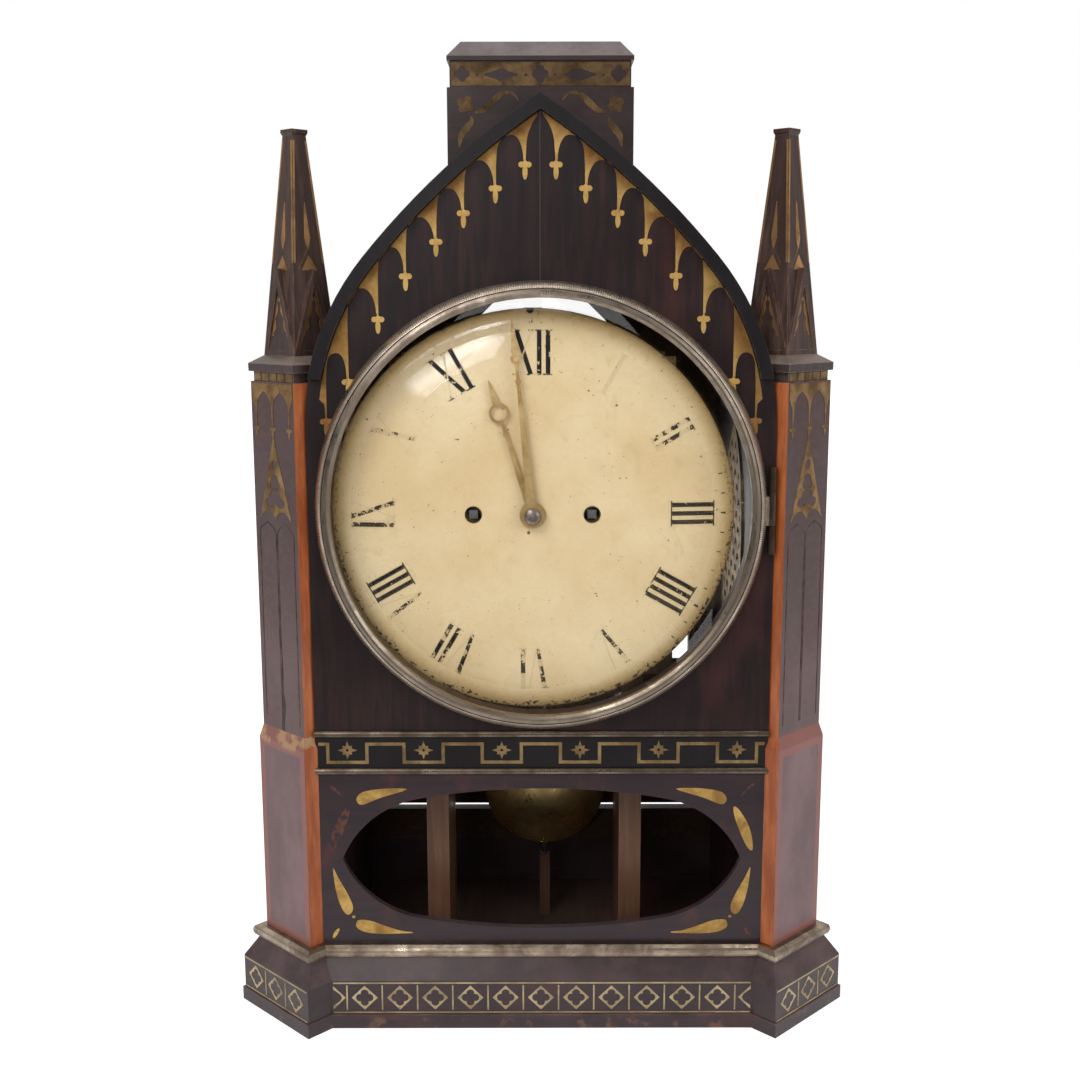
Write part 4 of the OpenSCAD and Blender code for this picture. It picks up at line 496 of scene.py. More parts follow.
metal("bob_brass", (0.86, 0.62, 0.26), (0.28, 0.20, 0.09), 0.75, extra=turned_rings(2.0, 90.1, 0.9, 0.25))

# Brass wheels on steel arbors: where each arbor is from the middle of the dial, and its radius, in mm
wheels = {
    "time_great_wheel": (30, 0, 3.2), "strike_great_wheel": (-30, 0, 3.2), "centre_wheel": (0, 0, 3.0),
    "third_wheel": (-5.98, 25.3, 3.0), "escape_wheel": (6.21, 40.2, 2.4), "pin_wheel": (-48.7, 18.7, 3.0),
    "gathering_wheel": (-42, 37.3, 3.0), "warning_wheel": (-29.5, 46.9, 2.4), "fly": (-20, 55.5, 2.1),
}
for wheel, arbor in wheels.items():
    metal(f"{wheel.removesuffix('_wheel')}_brass", (0.55, 0.38, 0.15), (0.20, 0.13, 0.055), 0.5, arbor=arbor)


def painted_dial():
    r, shader = start_finish("painted_dial")
    spot = r.spot()
    paint = r.use(dial_paint, Place=spot)
    colour = paint["Color"]
    # Two holes in the dial drawn as dark spots: painted shade where the open holes are, with nothing cut from
    # the dial
    for x, z, radius in ((-5.3, 374.7, 2.0), (-6.3, 263.3, 0.8)):
        hole_shade = r.step(r.far_from(spot, x, z), (radius + 0.3) / 1000, (radius - 0.3) / 1000)
        colour = r.blend(hole_shade, colour, (0.012, 0.009, 0.008))
    finish_with(r, shader, colour, paint["Roughness"], paint["Height"], 0.12,
                Coat_Weight=0.6, Coat_Roughness=0.07)


def numeral_paint():
    """Black paint, worn through to the cream where its wear attribute is high."""
    r, shader = start_finish("numeral_paint")
    spot = r.spot()
    wear = r.add("Attribute", attribute_name="wear").outputs["Fac"]
    flake = r.plus(r.times(r.noise(spot, 210, 4, 0.62), 0.75), r.times(r.noise(spot, 900, 3, 0.6), 0.25))
    left = r.above(flake, r.step(wear, 0.0, 1.0, 0.36, 0.66))
    ghost = r.blend(0.16, r.use(dial_paint, Place=spot)["Color"], (0.05, 0.035, 0.02))
    finish_with(r, shader, r.blend(left, ghost, (0.010, 0.008, 0.007)), 0.42, Specular_IOR_Level=0.25)


def clear_glass():
    """Old thin glass; light for shadows passes straight through it."""
    r, shader = start_finish("clear_glass")
    finish_with(r, shader, (0.985, 0.995, 0.99), 0.01, IOR=1.46, Transmission_Weight=1.0)
    path = r.add("LightPath").outputs
    through = r.most(path["Is Shadow Ray"], path["Is Diffuse Ray"], 0.93)
    both = r.add("MixShader", {0: through, 1: shader.outputs[0], 2: r.add("BsdfTransparent").outputs[0]})
    r.give(r.tree.nodes["Material Output"].inputs["Surface"], both.outputs[0])


def gut_line():
    r, shader = start_finish("gut_line")
    cloud = r.noise(r.spot(), 240, 4, 0.6)
    colour = r.blend(r.step(cloud, 0.3, 0.7), (0.30, 0.17, 0.06), (0.50, 0.33, 0.15))
    finish_with(r, shader, colour, r.step(cloud, 0.3, 0.7, 0.3, 0.5), cloud, 0.2, 0.0001,
                Subsurface_Weight=0.15, Subsurface_Scale=0.001)


def bare_glue():
    """The bed of an inlay that has fallen out."""
    r, shader = start_finish("bare_glue")
    cloud = r.noise(r.spot(), 330, 5, 0.65)
    colour = r.blend(r.step(cloud, 0.42, 0.62), (0.020, 0.012, 0.012), (0.11, 0.035, 0.022))
    finish_with(r, shader, colour, r.step(cloud, 0.3, 0.7, 0.55, 0.8), cloud, 0.6)


for make in (painted_dial, numeral_paint, clear_glass, gut_line, bare_glue):
    make()

# The CAD nodes that wear each finish
worn_by = {
    "rosewood_plinth": "base_plinth", "stained_oak": "floor_board back_frame rear_door_frame",
    "bead_brass": "brass_beads", "rosewood_side": "side_panels roof_boards", "fret_brass": "side_frets",
    "rosewood_front": "upper_front_panel", "ebonised": "frieze_panel arch_rim",
    "rosewood_lower": "lower_front_panel", "lower_pier": "lower_buttresses",
    "upper_pier": "upper_buttresses", "ebonised_cap": "buttress_caps",
    "spire_wood": "pinnacles", "pedestal_wood": "pedestal", "clear_glass": "rear_door_glass bezel_glass",
    "hinge_brass": "rear_hinge_frame_leaves rear_hinge_door_leaves rear_door_latch",
    "bezel_brass": "bezel_ring", "dark_hinge": "bezel_hinge", "old_pine": "seatboard",
    "post_wood": "seat_posts pendulum_rest_post",
    "painted_dial": "dial", "steel": "barrel_arbors pallets cannon_pinion pendulum_rod hammer",
    "plate_brass": "front_plate back_plate plate_pillars time_fusee time_barrel strike_fusee strike_barrel"
                   " minute_wheel hour_wheel back_cock bell_stand rack",
    "gut_line": "time_line strike_line", "hand_brass": "minute_hand hour_hand", "bob_brass": "pendulum_bob",
    "bell_metal": "bell",
}


def dress(piece, finish):
    piece.data.materials.clear()
    piece.data.materials.append(finishes[finish])


for finish, names in worn_by.items():
    for name in names.split():
        dress(nodes[name], finish)
for wheel in wheels:
    dress(nodes[wheel], f"{wheel.removesuffix('_wheel')}_brass")


# Pieces
def only(piece):
    bpy.ops.object.select_all(action="DESELECT")
    piece.select_set(True)
    bpy.context.view_layer.objects.active = piece


def added(operator, **settings):
    """The object that an operator adds while nothing is selected."""
    bpy.ops.object.select_all(action="DESELECT")
    operator(**settings)
    return bpy.context.view_layer.objects.active


def done(piece, body, finish, smooth=True):
    """Gives a piece its finish and its body."""
    dress(piece, finish)
    if smooth:
        only(piece)
        bpy.ops.object.shade_smooth_by_angle(angle=math.radians(35))
    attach(piece, body)
    return piece


def plane(origin, right, up):
    """A flat face of the case: its origin in mm, and its own right and up."""
    right, up = Vector(right).normalized(), Vector(up).normalized()
    return Matrix.Translation(place(*origin)) @ Matrix((right, up, right.cross(up))).transposed().to_4x4()


def front_plane(y):
    return plane((0, y, 0), (1, 0, 0), (0, 0, 1))


def pier_plane(side, half, z=0, inner=False, lean=0.0):
    """The outer or the inner front face of a corner pier, its origin at the middle of the face."""
    out = -side if inner else side
    return plane((side * PIER_X + out * half / 2, 22.5 - half / 2, z), (1, out, 0), (-out * lean, lean, 1))


def sheet(name, loops, face, finish, thick=0.14):
    """Thin inlay cut to outlines in mm, with their holes, lying on a face of the case."""
    drawn = bpy.data.curves.new(name, "CURVE")
    drawn.dimensions = "2D"
    drawn.fill_mode = "BOTH"
    drawn.extrude = thick / 1000
    drawn.bevel_depth = 0.00004
    drawn.offset = -0.00004
    for loop in loops:
        line = drawn.splines.new("POLY")
        line.points.add(len(loop) - 1)
        line.points.foreach_set("co", [c for x, z in loop for c in (x / 1000, z / 1000, 0.0, 1.0)])
        line.use_cyclic_u = True
    piece = bpy.data.objects.new(name, drawn)
    bpy.context.scene.collection.objects.link(piece)
    only(piece)
    bpy.ops.object.convert(target="MESH")
    piece = bpy.context.view_layer.objects.active
    piece.data.transform(face)
    done(piece, "case_and_frame", finish)


# Outlines of the inlay, in mm
def mixed(shares, points):
    return tuple(sum(share * point[k] for share, point in zip(shares, points)) for k in (0, 1))


def flowing(points, per=5, closed=True):
    """A smooth line through points."""
    n = len(points)
    line = []
    for i in range(n if closed else n - 1):
        around = [i + k if closed else min(max(i + k, 0), n - 1) for k in (-1, 0, 1, 2)]
        for s in range(per):
            t = s / per
            shares = (t * t - (t + t ** 3) / 2, 1 - 2.5 * t * t + 1.5 * t ** 3,
                      t / 2 + 2 * t * t - 1.5 * t ** 3, (t ** 3 - t * t) / 2)
            line.append(mixed(shares, [points[k % n] for k in around]))
    return line if closed else line + [points[-1]]


def lobed(at, lobes, count=48):
    """Outline round overlapping ellipses (x, z, half width, half height) about a point inside them all."""
    loop = []
    for k in range(count):
        turn = 2 * math.pi * k / count
        dx, dz = math.cos(turn), math.sin(turn)
        far = 0.0
        for x, z, rx, rz in lobes:
            a = (dx / rx) ** 2 + (dz / rz) ** 2
            b = (x * dx) / rx ** 2 + (z * dz) / rz ** 2
            c = (x / rx) ** 2 + (z / rz) ** 2 - 1
            inside = b * b - a * c
            if inside >= 0:
                far = max(far, (b + math.sqrt(inside)) / a)
        loop.append((at[0] + far * dx, at[1] + far * dz))
    return loop


def ribbon(points, width):
    """Outline of a line of even width."""
    last = len(points) - 1
    ways = [(Vector(q) - Vector(p)).normalized() for p, q in zip(points, points[1:])]
    left, right = [], []
    for i, p in enumerate(points):
        before, after = ways[max(i - 1, 0)], ways[min(i, last - 1)]
        way = (before + after).normalized()
        reach = width / 2 / max(0.35, way.dot(before))
        left.append((p[0] - way.y * reach, p[1] + way.x * reach))
        right.append((p[0] + way.y * reach, p[1] - way.x * reach))
    return [left + right[::-1]]


def leaf(spine, widths):
    """A leaf along a spine, with its widths from one end to the other."""
    line = flowing(spine, closed=False)
    last = len(line) - 1
    left, right = [], []
    for i, p in enumerate(line):
        share = i / last * (len(widths) - 1)
        k = min(int(share), len(widths) - 2)
        half = (widths[k] + (widths[k + 1] - widths[k]) * (share - k)) / 2
        way = (Vector(line[min(i + 1, last)]) - Vector(line[max(i - 1, 0)])).normalized()
        left.append((p[0] - way.y * half, p[1] + way.x * half))
        right.append((p[0] + way.y * half, p[1] - way.x * half))
    return left + right[::-1]


def curve_from(a, b, c, d, count=6):
    """Points on a bend from a to d, pulled towards b and c."""
    bend = []
    for i in range(count + 1):
        t, u = i / count, 1 - i / count
        bend.append(mixed((u ** 3, 3 * u * u * t, 3 * u * t * t, t ** 3), (a, b, c, d)))
    return bend


def pointed_head(left, right, spring, apex, rise, pull, fall):
    """The two sides of a pointed head between two uprights, without its first point."""
    x, high, low = (left + right) / 2, spring + rise, apex - fall
    return (curve_from((left, spring), (left + 0.2, high), (x - pull, low), (x, apex))[1:]
            + curve_from((x, apex), (x + pull, low), (right - 0.2, high), (right, spring))[1:])


def flipped(loop):
    return [(-x, z) for x, z in loop][::-1]


def both_sides(loops):
    return loops + [flipped(loop) for loop in loops]


def shifted(loop, x, z):
    return [(a + x, b + z) for a, b in loop]


def oblong(left, low, right, high):
    return [(left, low), (right, low), (right, high), (left, high)]


def dot(x, z, r, count, high=None):
    return lobed((x, z), ((0, 0, r, high or r),), count)


def four_lobes(x, z, far, r, count=48, turn=0):
    """A foil of four round lobes."""
    ways = [math.radians(turn + 90 * k) for k in range(4)]
    return lobed((x, z), [(far * math.cos(a), far * math.sin(a), r, r) for a in ways], count)


def arc(x, z, r, start, end, steps):
    return [(x + r * math.cos(a), z + r * math.sin(a))
            for a in (start + (end - start) * i / steps for i in range(steps + 1))]


def arch_line(inset, x_from, z_to):
    """Right half of the arch from near the crown down to a height."""
    crown_r, haunch_r = CROWN_R - inset, HAUNCH_R - inset
    start, end = math.acos((x_from - CROWN_X) / crown_r), math.asin((z_to - HAUNCH_Z) / haunch_r)
    crown = arc(CROWN_X, CROWN_Z, crown_r, start, TURN, 30)
    return crown + arc(HAUNCH_X, HAUNCH_Z, haunch_r, TURN, end, 14)[1:]


# Arcade under the arch: stems, the heads of the bays between them, and the drops
stems = ((7.45, 442.4), (21.75, 431.3), (37.25, 419.7), (50.7, 406.2), (65.75, 389.9), (79.6, 369.2),
         (94.9, 338.8), (106.2, 319.3))
heads = ((0.0, 467.3), (13.8, 457.0), (29.0, 445.3), (44.0, 432.3), (58.2, 418.8), (72.0, 404.6),
         (87.0, 385.1), (100.5, 353.8))


def arcade_side():
    """The right half of the arcade, from the crown down along the arch and back over the bays."""
    loop = arch_line(6.6, 0.9, 331.0)
    for i in range(len(stems) - 1, -1, -1):
        (x, z), (head_x, top) = stems[i], heads[i]
        spring = top - (9.0 if i else 15.0)
        outer = heads[i + 1][1] - 11.5 if i < len(stems) - 1 else 329.5
        loop += [(x + 0.75, outer - 1.0), (x + 0.4, max(outer - 7.0, z + 4)), (x + 0.34, z + 2.6),
                 (x - 0.34, z + 2.6), (x - 0.4, max(spring - 6.0, z + 4.5)), (x - 0.75, spring)]
        if i:
            inner = stems[i - 1][0] + 0.75
            pulls = (head_x - 3.6, top - 0.1), (inner + 0.2, top - 5.5)
            loop += curve_from(loop[-1], (x - 0.8, spring + 6.5), (head_x + 3.4, top), heads[i], 8)[1:]
            loop += curve_from(heads[i], *pulls, (inner, top - 11.5), 8)[1:-1]
        else:
            loop += curve_from(loop[-1], (x - 0.9, spring + 7), (2.6, 464.6), (0.9, 466.4), 10)[1:-1]
    return loop


def without_doubles(loop):
    """Leaves out a point that lies on the one before."""
    return [p for i, p in enumerate(loop) if i == 0 or (Vector(p) - Vector(loop[i - 1])).length > 0.04]


PANEL = front_plane(0)
drop = lobed((0, 0), ((-1.75, 0.8, 1.45, 1.4), (1.75, 0.8, 1.45, 1.4), (0, 1.2, 1.3, 1.5),
                      (0, -2.7, 1.25, 3.6)), 60)
drops = [shifted(drop, x, z) for x, z in stems]
sheet("arch_arcade", both_sides([without_doubles(arcade_side())] + drops), PANEL, "arcade_brass")

# Pedestal: flowers and leaves on the block, and the pierced band round its neck
long_leaf = leaf([(-10.6, 473.6), (-12.6, 476.4), (-15.8, 477.6), (-19.8, 476.2), (-23.8, 472.6),
                  (-27.6, 469.4), (-31.8, 468.2)], (0.4, 1.4, 1.7, 2.6, 3.4, 2.6, 0.7))
short_leaf = leaf([(-33.4, 466.6), (-33.2, 464.2), (-35.6, 460.9), (-38.4, 457.2), (-39.3, 452.0)],
                  (0.6, 2.2, 3.6, 3.0, 0.4))
flower = four_lobes(-36.2, 471.9, 2.1, 2.1, 60, 60)
flowers = both_sides([long_leaf, short_leaf, flower])
sheet("pedestal_flowers", flowers, front_plane(8), "inlay_dark", thick=0.1)

lozenge = flowing([(-8.2, 0), (-3.4, 1.7), (0, 2.8), (3.4, 1.7), (8.2, 0), (3.4, -1.7), (0, -2.8),
                   (-3.4, -1.7)], 3)
neck_band = [oblong(-43.0, 480.8, 43.0, 491.8), four_lobes(0, 486.2, 2.1, 2.0)]
neck_band += [four_lobes(x, 486.3, 1.8, 1.9) for x in (-37.6, 37.6)]
neck_band += [shifted(lozenge, x, 485.9) for x in (-19, 19)]
neck_band += [dot(x, 485.8, 0.7, 16) for x in (-30.4, -7, 7, 30.4)]
sheet("pedestal_band", neck_band, front_plane(9.3), "inlay_dark", thick=0.1)

# Frieze: a battlement line with a star over each dip
stars = (-100.3, -60.9, -20.5, 19.9, 60.5, 101.0)
battlement = [(-115.2, 153.6)]
for x in stars:
    battlement += [(x - 10.1, 153.6), (x - 10.1, 143.8), (x + 10.1, 143.8), (x + 10.1, 153.6)]
frieze = ribbon(battlement + [(115.2, 153.6)], 1.7)
rays = [(math.pi / 8 * k, (5.2, 2.5, 3.5, 2.5)[k % 4]) for k in range(16)]
star = [(r * math.cos(turn), 0.95 * r * math.sin(turn)) for turn, r in rays]
for x in stars:
    frieze += [shifted(star, x, 150.3), dot(x, 150.3, 0.75, 14)]
sheet("frieze_battlement", frieze, PANEL, "inlay_frieze")

# Lower front: leaves round the pointed oval, four of them lost
top_leaf = flowing([(-96.3, 123.7), (-94.8, 120.9), (-91.8, 121.1), (-83.9, 124.4), (-69.9, 129.0),
                    (-78.8, 129.6), (-87.1, 128.9), (-93.8, 127.2)], 4)
side_leaf = flowing([(-109.4, 85.9), (-109.2, 80.2), (-108.1, 72.1), (-105.8, 64.1), (-103.0, 59.9),
                     (-100.3, 60.9), (-99.7, 64.9), (-102.3, 71.6), (-106.7, 80.1)], 4)
foot_leaf = flowing([(-98.1, 54.6), (-97.3, 51.9), (-93.1, 49.8), (-86.4, 48.9), (-78.8, 48.9), (-67.9, 49.4),
                     (-75.4, 50.8), (-82.9, 53.4), (-90.5, 56.2), (-96.4, 56.7)], 4)
high_leaf = flowing([(-110.4, 95.4), (-109.8, 103.2), (-107.4, 110.4), (-103.2, 117.2), (-100.2, 119.4),
                     (-100.4, 114.6), (-103.4, 106.0), (-107.3, 97.6)], 4)
bud = flowing([(-110.6, 46.6), (-109.4, 46.9), (-107.6, 49.6), (-107.0, 51.8), (-108.4, 51.4),
               (-110.2, 48.9)], 3)
lost_bud = flowing([(-110.4, 132.0), (-107.6, 130.4), (-104.0, 126.2), (-103.2, 124.8), (-106.2, 127.2),
                    (-109.6, 129.8)], 3)
link = dot(-99.3, 58.4, 0.9, 14, 0.8)
sheet("lower_leaves", both_sides([top_leaf, side_leaf, foot_leaf, link]) + [bud, flipped(high_leaf)], PANEL,
      "inlay_brass")
lost = [high_leaf, lost_bud, flipped(bud), flipped(lost_bud)]
sheet("lost_leaves", lost, PANEL, "bare_glue", 0.03)

# Plinth: pierced lozenges between lines
MIDLINE, SPACING, CORNER_HALF = 16.7, 18.6, 41.5


def lozenge_band(low, high, centres, bars):
    loops = [oblong(low, 24.5, high, 25.3), oblong(low, 7.9, high, 8.7)]
    for x in centres:
        loops += [[(x - 6.9, MIDLINE), (x, MIDLINE + 6.8), (x + 6.9, MIDLINE), (x, MIDLINE - 6.8)],
                  four_lobes(x, MIDLINE, 2.5, 2.1, 40)]
    return loops + [oblong(x - 0.4, 9.6, x + 0.4, 23.7) for x in bars]


def half_lozenge(x, way):
    """The part of a lozenge that reaches round the inner corner of the plinth."""
    shape = ((0, 6.6), (6.6, 0), (0, -6.6), (0, -4.7), (3.6, -1.9), (4.6, 0), (3.6, 1.9), (0, 4.7))
    return [(x + out * way, MIDLINE + up) for out, up in shape]


middles = [-0.5 + SPACING * k for k in range(-5, 6)]
front_band = lozenge_band(-110.0, 110.0, middles, [-0.5 + SPACING * (k + 0.5) for k in range(-6, 6)])
front_band += [half_lozenge(-110.1, 1), half_lozenge(110.1, -1)]
sheet("plinth_band", front_band, front_plane(-8), "inlay_plinth")
for side, word in SIDES:
    sheet(f"plinth_corner_band_{word}", lozenge_band(-28.4, 28.4, (-18.2, 0, 18.2), (-9.1, 9.1)),
          pier_plane(side, CORNER_HALF), "inlay_plinth")
    # The narrow inner face runs from the corner's edge to the front of the plinth
    near = -CORNER_HALF / math.sqrt(2)
    far = near + 15.4
    low, high = (near + 0.6, far - 0.1) if side > 0 else (0.1 - far, -near - 0.6)
    corner = lozenge_band(low, high, (), ()) + [half_lozenge(side * (far - 0.1), -side)]
    sheet(f"plinth_return_band_{word}", corner, pier_plane(side, CORNER_HALF, inner=True), "inlay_plinth")

# Corner piers: a small arcade, a pierced spire over two long lights, and the band under the cap
pier_stems = (-14.2, -0.1, 14.3)


def pier_arcade():
    top, spring, foot = 338.3, 325.5, 316.6
    loop = [(-17.6, top), (-17.6, 331.0), (-14.9, spring), (-14.6, foot), (-13.9, foot), (-13.5, spring)]
    for left, right in zip(pier_stems, pier_stems[1:]):
        loop += pointed_head(left + 0.8, right - 0.8, spring, 334.4, 5.5, 2.4, 1.6)
        loop += [(right - 0.35, foot), (right + 0.35, foot), (right + 0.7, spring)]
    return loop + [(17.6, 331.0), (17.6, top)]


def light_line(left, right):
    """A narrow light with a pointed head, drawn with a line."""
    foot, spring = 163.0, 261.5
    head = pointed_head(left, right, spring, 267.6, 3.2, 2.2, 1.0)
    return ribbon([(left, foot), (left, spring)] + head + [(right, foot)], 0.7)


small_drop = [(0.82 * x, 0.62 * z) for x, z in drop]
pier_head = [pier_arcade()] + [shifted(small_drop, x, 315.0) for x in pier_stems]
spire_foot = [(-13.9, 268.4), (-10.6, 272.2), (-7.2, 274.0), (-4.0, 273.4), (-1.4, 271.2)]
spire = [[(0, 312.2)] + spire_foot + [(0, 269.2)] + flipped(spire_foot), dot(0, 297.4, 1.9, 20, 2.5),
         lobed((0, 288.8), ((0, 0.8, 3.0, 3.2), (-1.9, -1.5, 2.4, 2.3), (1.9, -1.5, 2.4, 2.3)), 36),
         lobed((0, 279.6), ((0, 1.6, 4.6, 3.6), (-4.6, -1.4, 3.7, 2.6), (4.6, -1.4, 3.7, 2.6)), 44)]
lights = light_line(-14.9, -0.55) + light_line(0.55, 14.9)
cap_band = [oblong(x, 339.5, x + 5.6, 343.4) for x in (-16.4, -9.6, -2.8, 4.0, 10.8)]

# Pinnacle faces: a spear over a chevron between two edge lines, and a fringe of cusps under the gable
TIP = (18.6 - 5.8) / 2 / 107
spear = leaf([(0, 75.5), (0, 66.0), (0, 58.0), (0, 52.4)], (0.3, 2.2, 3.6, 0.4))
chevron = ribbon([(-5.6, 42.5), (0, 51.2), (5.6, 42.5)], 1.9)
edge_line = [(at - 0.0846 * z, z) for at, z in ((12.9, 45.5), (12.9, 105.0), (11.9, 105.0), (11.9, 45.5))]


def fringe():
    """Cusps along the left slope of the gable's field."""
    way = Vector((-9.64, -31.5)).normalized()
    outer, inner = [], []
    for k in range(33):
        spot = Vector((0, 33.6)) + way * (31.0 * k / 32)
        deep = 1.0 + 2.2 * abs(math.sin(math.pi * k / 8)) * (0.35 + 0.65 * k / 32)
        outer.append(tuple(spot))
        inner.append((spot.x - way.y * deep, spot.y + way.x * deep))
    return outer + inner[::-1]


for side, word in SIDES:
    upper = pier_plane(side, 26)
    sheet(f"pier_arcade_{word}", pier_head, upper, "inlay_old")
    sheet(f"pier_spire_{word}", spire, upper, "inlay_old")
    sheet(f"pier_lights_{word}", lights, upper, "inlay_faded", thick=0.05)
    sheet(f"cap_band_{word}", cap_band, pier_plane(side, 24.3), "inlay_old")
    for inner, way in ((False, "outer"), (True, "inner")):
        sheet(f"spear_{word}_{way}", both_sides([edge_line]) + [spear] + chevron,
              pier_plane(side, 18.6, 352, inner, TIP), "inlay_spire", thick=0.1)
        sheet(f"gable_fringe_{word}_{way}", both_sides([fringe()]), pier_plane(side, 17.186, 352, inner),
              "inlay_spire")


# Numerals: their feet and heads from the middle of the dial, and the widths of thick and thin strokes, in mm
FOOT, HEAD, THICK, THIN = 70.0, 92.4, 2.3, 0.7
dial = nodes["dial"]


def on_dial(across, out, turn, lift):
    """A point of the dial's face, given across and out from the middle along a direction of the dial."""
    x = DIAL_X + out * math.sin(turn) + across * math.cos(turn)
    z = DIAL_Z + out * math.cos(turn) - across * math.sin(turn)
    _, spot, way, _ = dial.ray_cast(place(x, -60, z), Vector((0, 1, 0)))
    return spot + way * (lift / 1000)


def stroke(foot, head, low, high, turn, lift, wear):
    """One painted stroke between two heights, bent onto the dial."""
    piece = added(bpy.ops.mesh.primitive_grid_add, x_subdivisions=2, y_subdivisions=12, size=2)
    for point in piece.data.vertices:
        share, side = (point.co.y + 1) / 2, (point.co.x + 1) / 2
        left, right = (foot[k] + (head[k] - foot[k]) * share for k in (0, 1))
        point.co = on_dial(left + (right - left) * side, low + (high - low) * share, turn, lift)
    worn = piece.data.attributes.new("wear", "FLOAT", "POINT")
    worn.data.foreach_set("value", [wear] * len(piece.data.vertices))
    return piece


# A stroke's left and right at its foot and at its head, its heights, and how much more it is worn
def serif(centre, half, high):
    ends = (centre - half, centre + half)
    low = HEAD - THIN if high else FOOT
    return ends, ends, low, low + THIN, 0.22


def main_stroke(foot_left, foot_right, head_left, head_right, wear=0.0):
    return (foot_left, foot_right), (head_left, head_right), FOOT, HEAD, wear


def letter_i(c):
    left, right = c - THICK / 2, c + THICK / 2
    return [main_stroke(left, right, left, right), serif(c, 2.15, True), serif(c, 2.15, False)]


def letter_v(c):
    return [main_stroke(c - 1.1, c + 0.7, c - 5.0, c - 2.6),
            main_stroke(c + 0.1, c + 0.8, c + 3.9, c + 4.6, 0.3),
            serif(c - 3.8, 2.3, True), serif(c + 4.2, 1.7, True)]


def letter_x(c):
    return [main_stroke(c + 2.5, c + 4.9, c - 4.9, c - 2.5),
            main_stroke(c - 4.5, c - 3.8, c + 3.8, c + 4.5, 0.34),
            serif(c - 3.8, 2.2, True), serif(c + 4.1, 1.7, True),
            serif(c - 4.1, 1.7, False), serif(c + 3.8, 2.2, False)]


# Each letter's width in mm, and how far each hour is worn away; the V of the eighth hour is worn more
letters = {"I": (letter_i, 4.4), "V": (letter_v, 10.4), "X": (letter_x, 11.2)}
hours = {"I": 0.78, "II": 0.5, "III": 0.0, "IIII": 0.08, "V": 0.48, "VI": 0.46, "VII": 0.42, "VIII": 0.06,
         "IX": 0.42, "X": 0.55, "XI": 0.26, "XII": 0.24}


def painted(name, strokes):
    bpy.ops.object.select_all(action="DESELECT")
    for piece in strokes:
        piece.select_set(True)
    bpy.context.view_layer.objects.active = strokes[0]
    bpy.ops.object.join()
    strokes[0].name = name
    done(strokes[0], "case_and_frame", "numeral_paint", smooth=False)


for hour, (word, wear) in enumerate(hours.items(), 1):
    turn = math.radians(30 * hour)
    at, strokes = -sum(letters[letter][1] for letter in word) / 2, []
    for letter in word:
        draw, width = letters[letter]
        more = 0.5 if (word, letter) == ("VIII", "V") else 0.0
        for k, (foot, head, low, high, own_wear) in enumerate(draw(at + width / 2)):
            worn_off = min(1.0, wear + more + own_wear)
            strokes.append(stroke(foot, head, low, high, turn, 0.05 + 0.006 * k, worn_off))
        at += width
    painted(f"hour_{hour}", strokes)

ticks = []
for minute in range(60):
    half, low = (0.55, 95.6) if minute % 5 == 0 else (0.28, 96.2)
    wear = 0.3 if 13 <= minute <= 22 else 0.75
    ticks.append(stroke((-half, half), (-half, half), low, 98.2, math.radians(6 * minute), 0.07, wear))
painted("minute_marks", ticks)

# Gut lines: the fusee's groove and the barrel, which lie below and beside the winding arbor, in mm
PITCH, TURNS, LINE_R, DRUM_R = 2.2, 14, 0.75, 23.091
ARBOR_X, ARBOR_Y, BARREL_X, BARREL_DOWN = 30, 44, 46.5, 47.5
ON_FUSEE, ON_BARREL, STEPS, STRAIGHT_STEPS, LINE_SIDES = 4, 6, 48, 24, 12
LAY, TUCK = 4.2, 1.5


def seat(turn):
    """Radius of the line's middle on the fusee after a number of turns."""
    small = 1 - turn / (TURNS + 1)
    return 11 * 20 / (11 + 9 * small) - 0.7 + LINE_R + 0.15


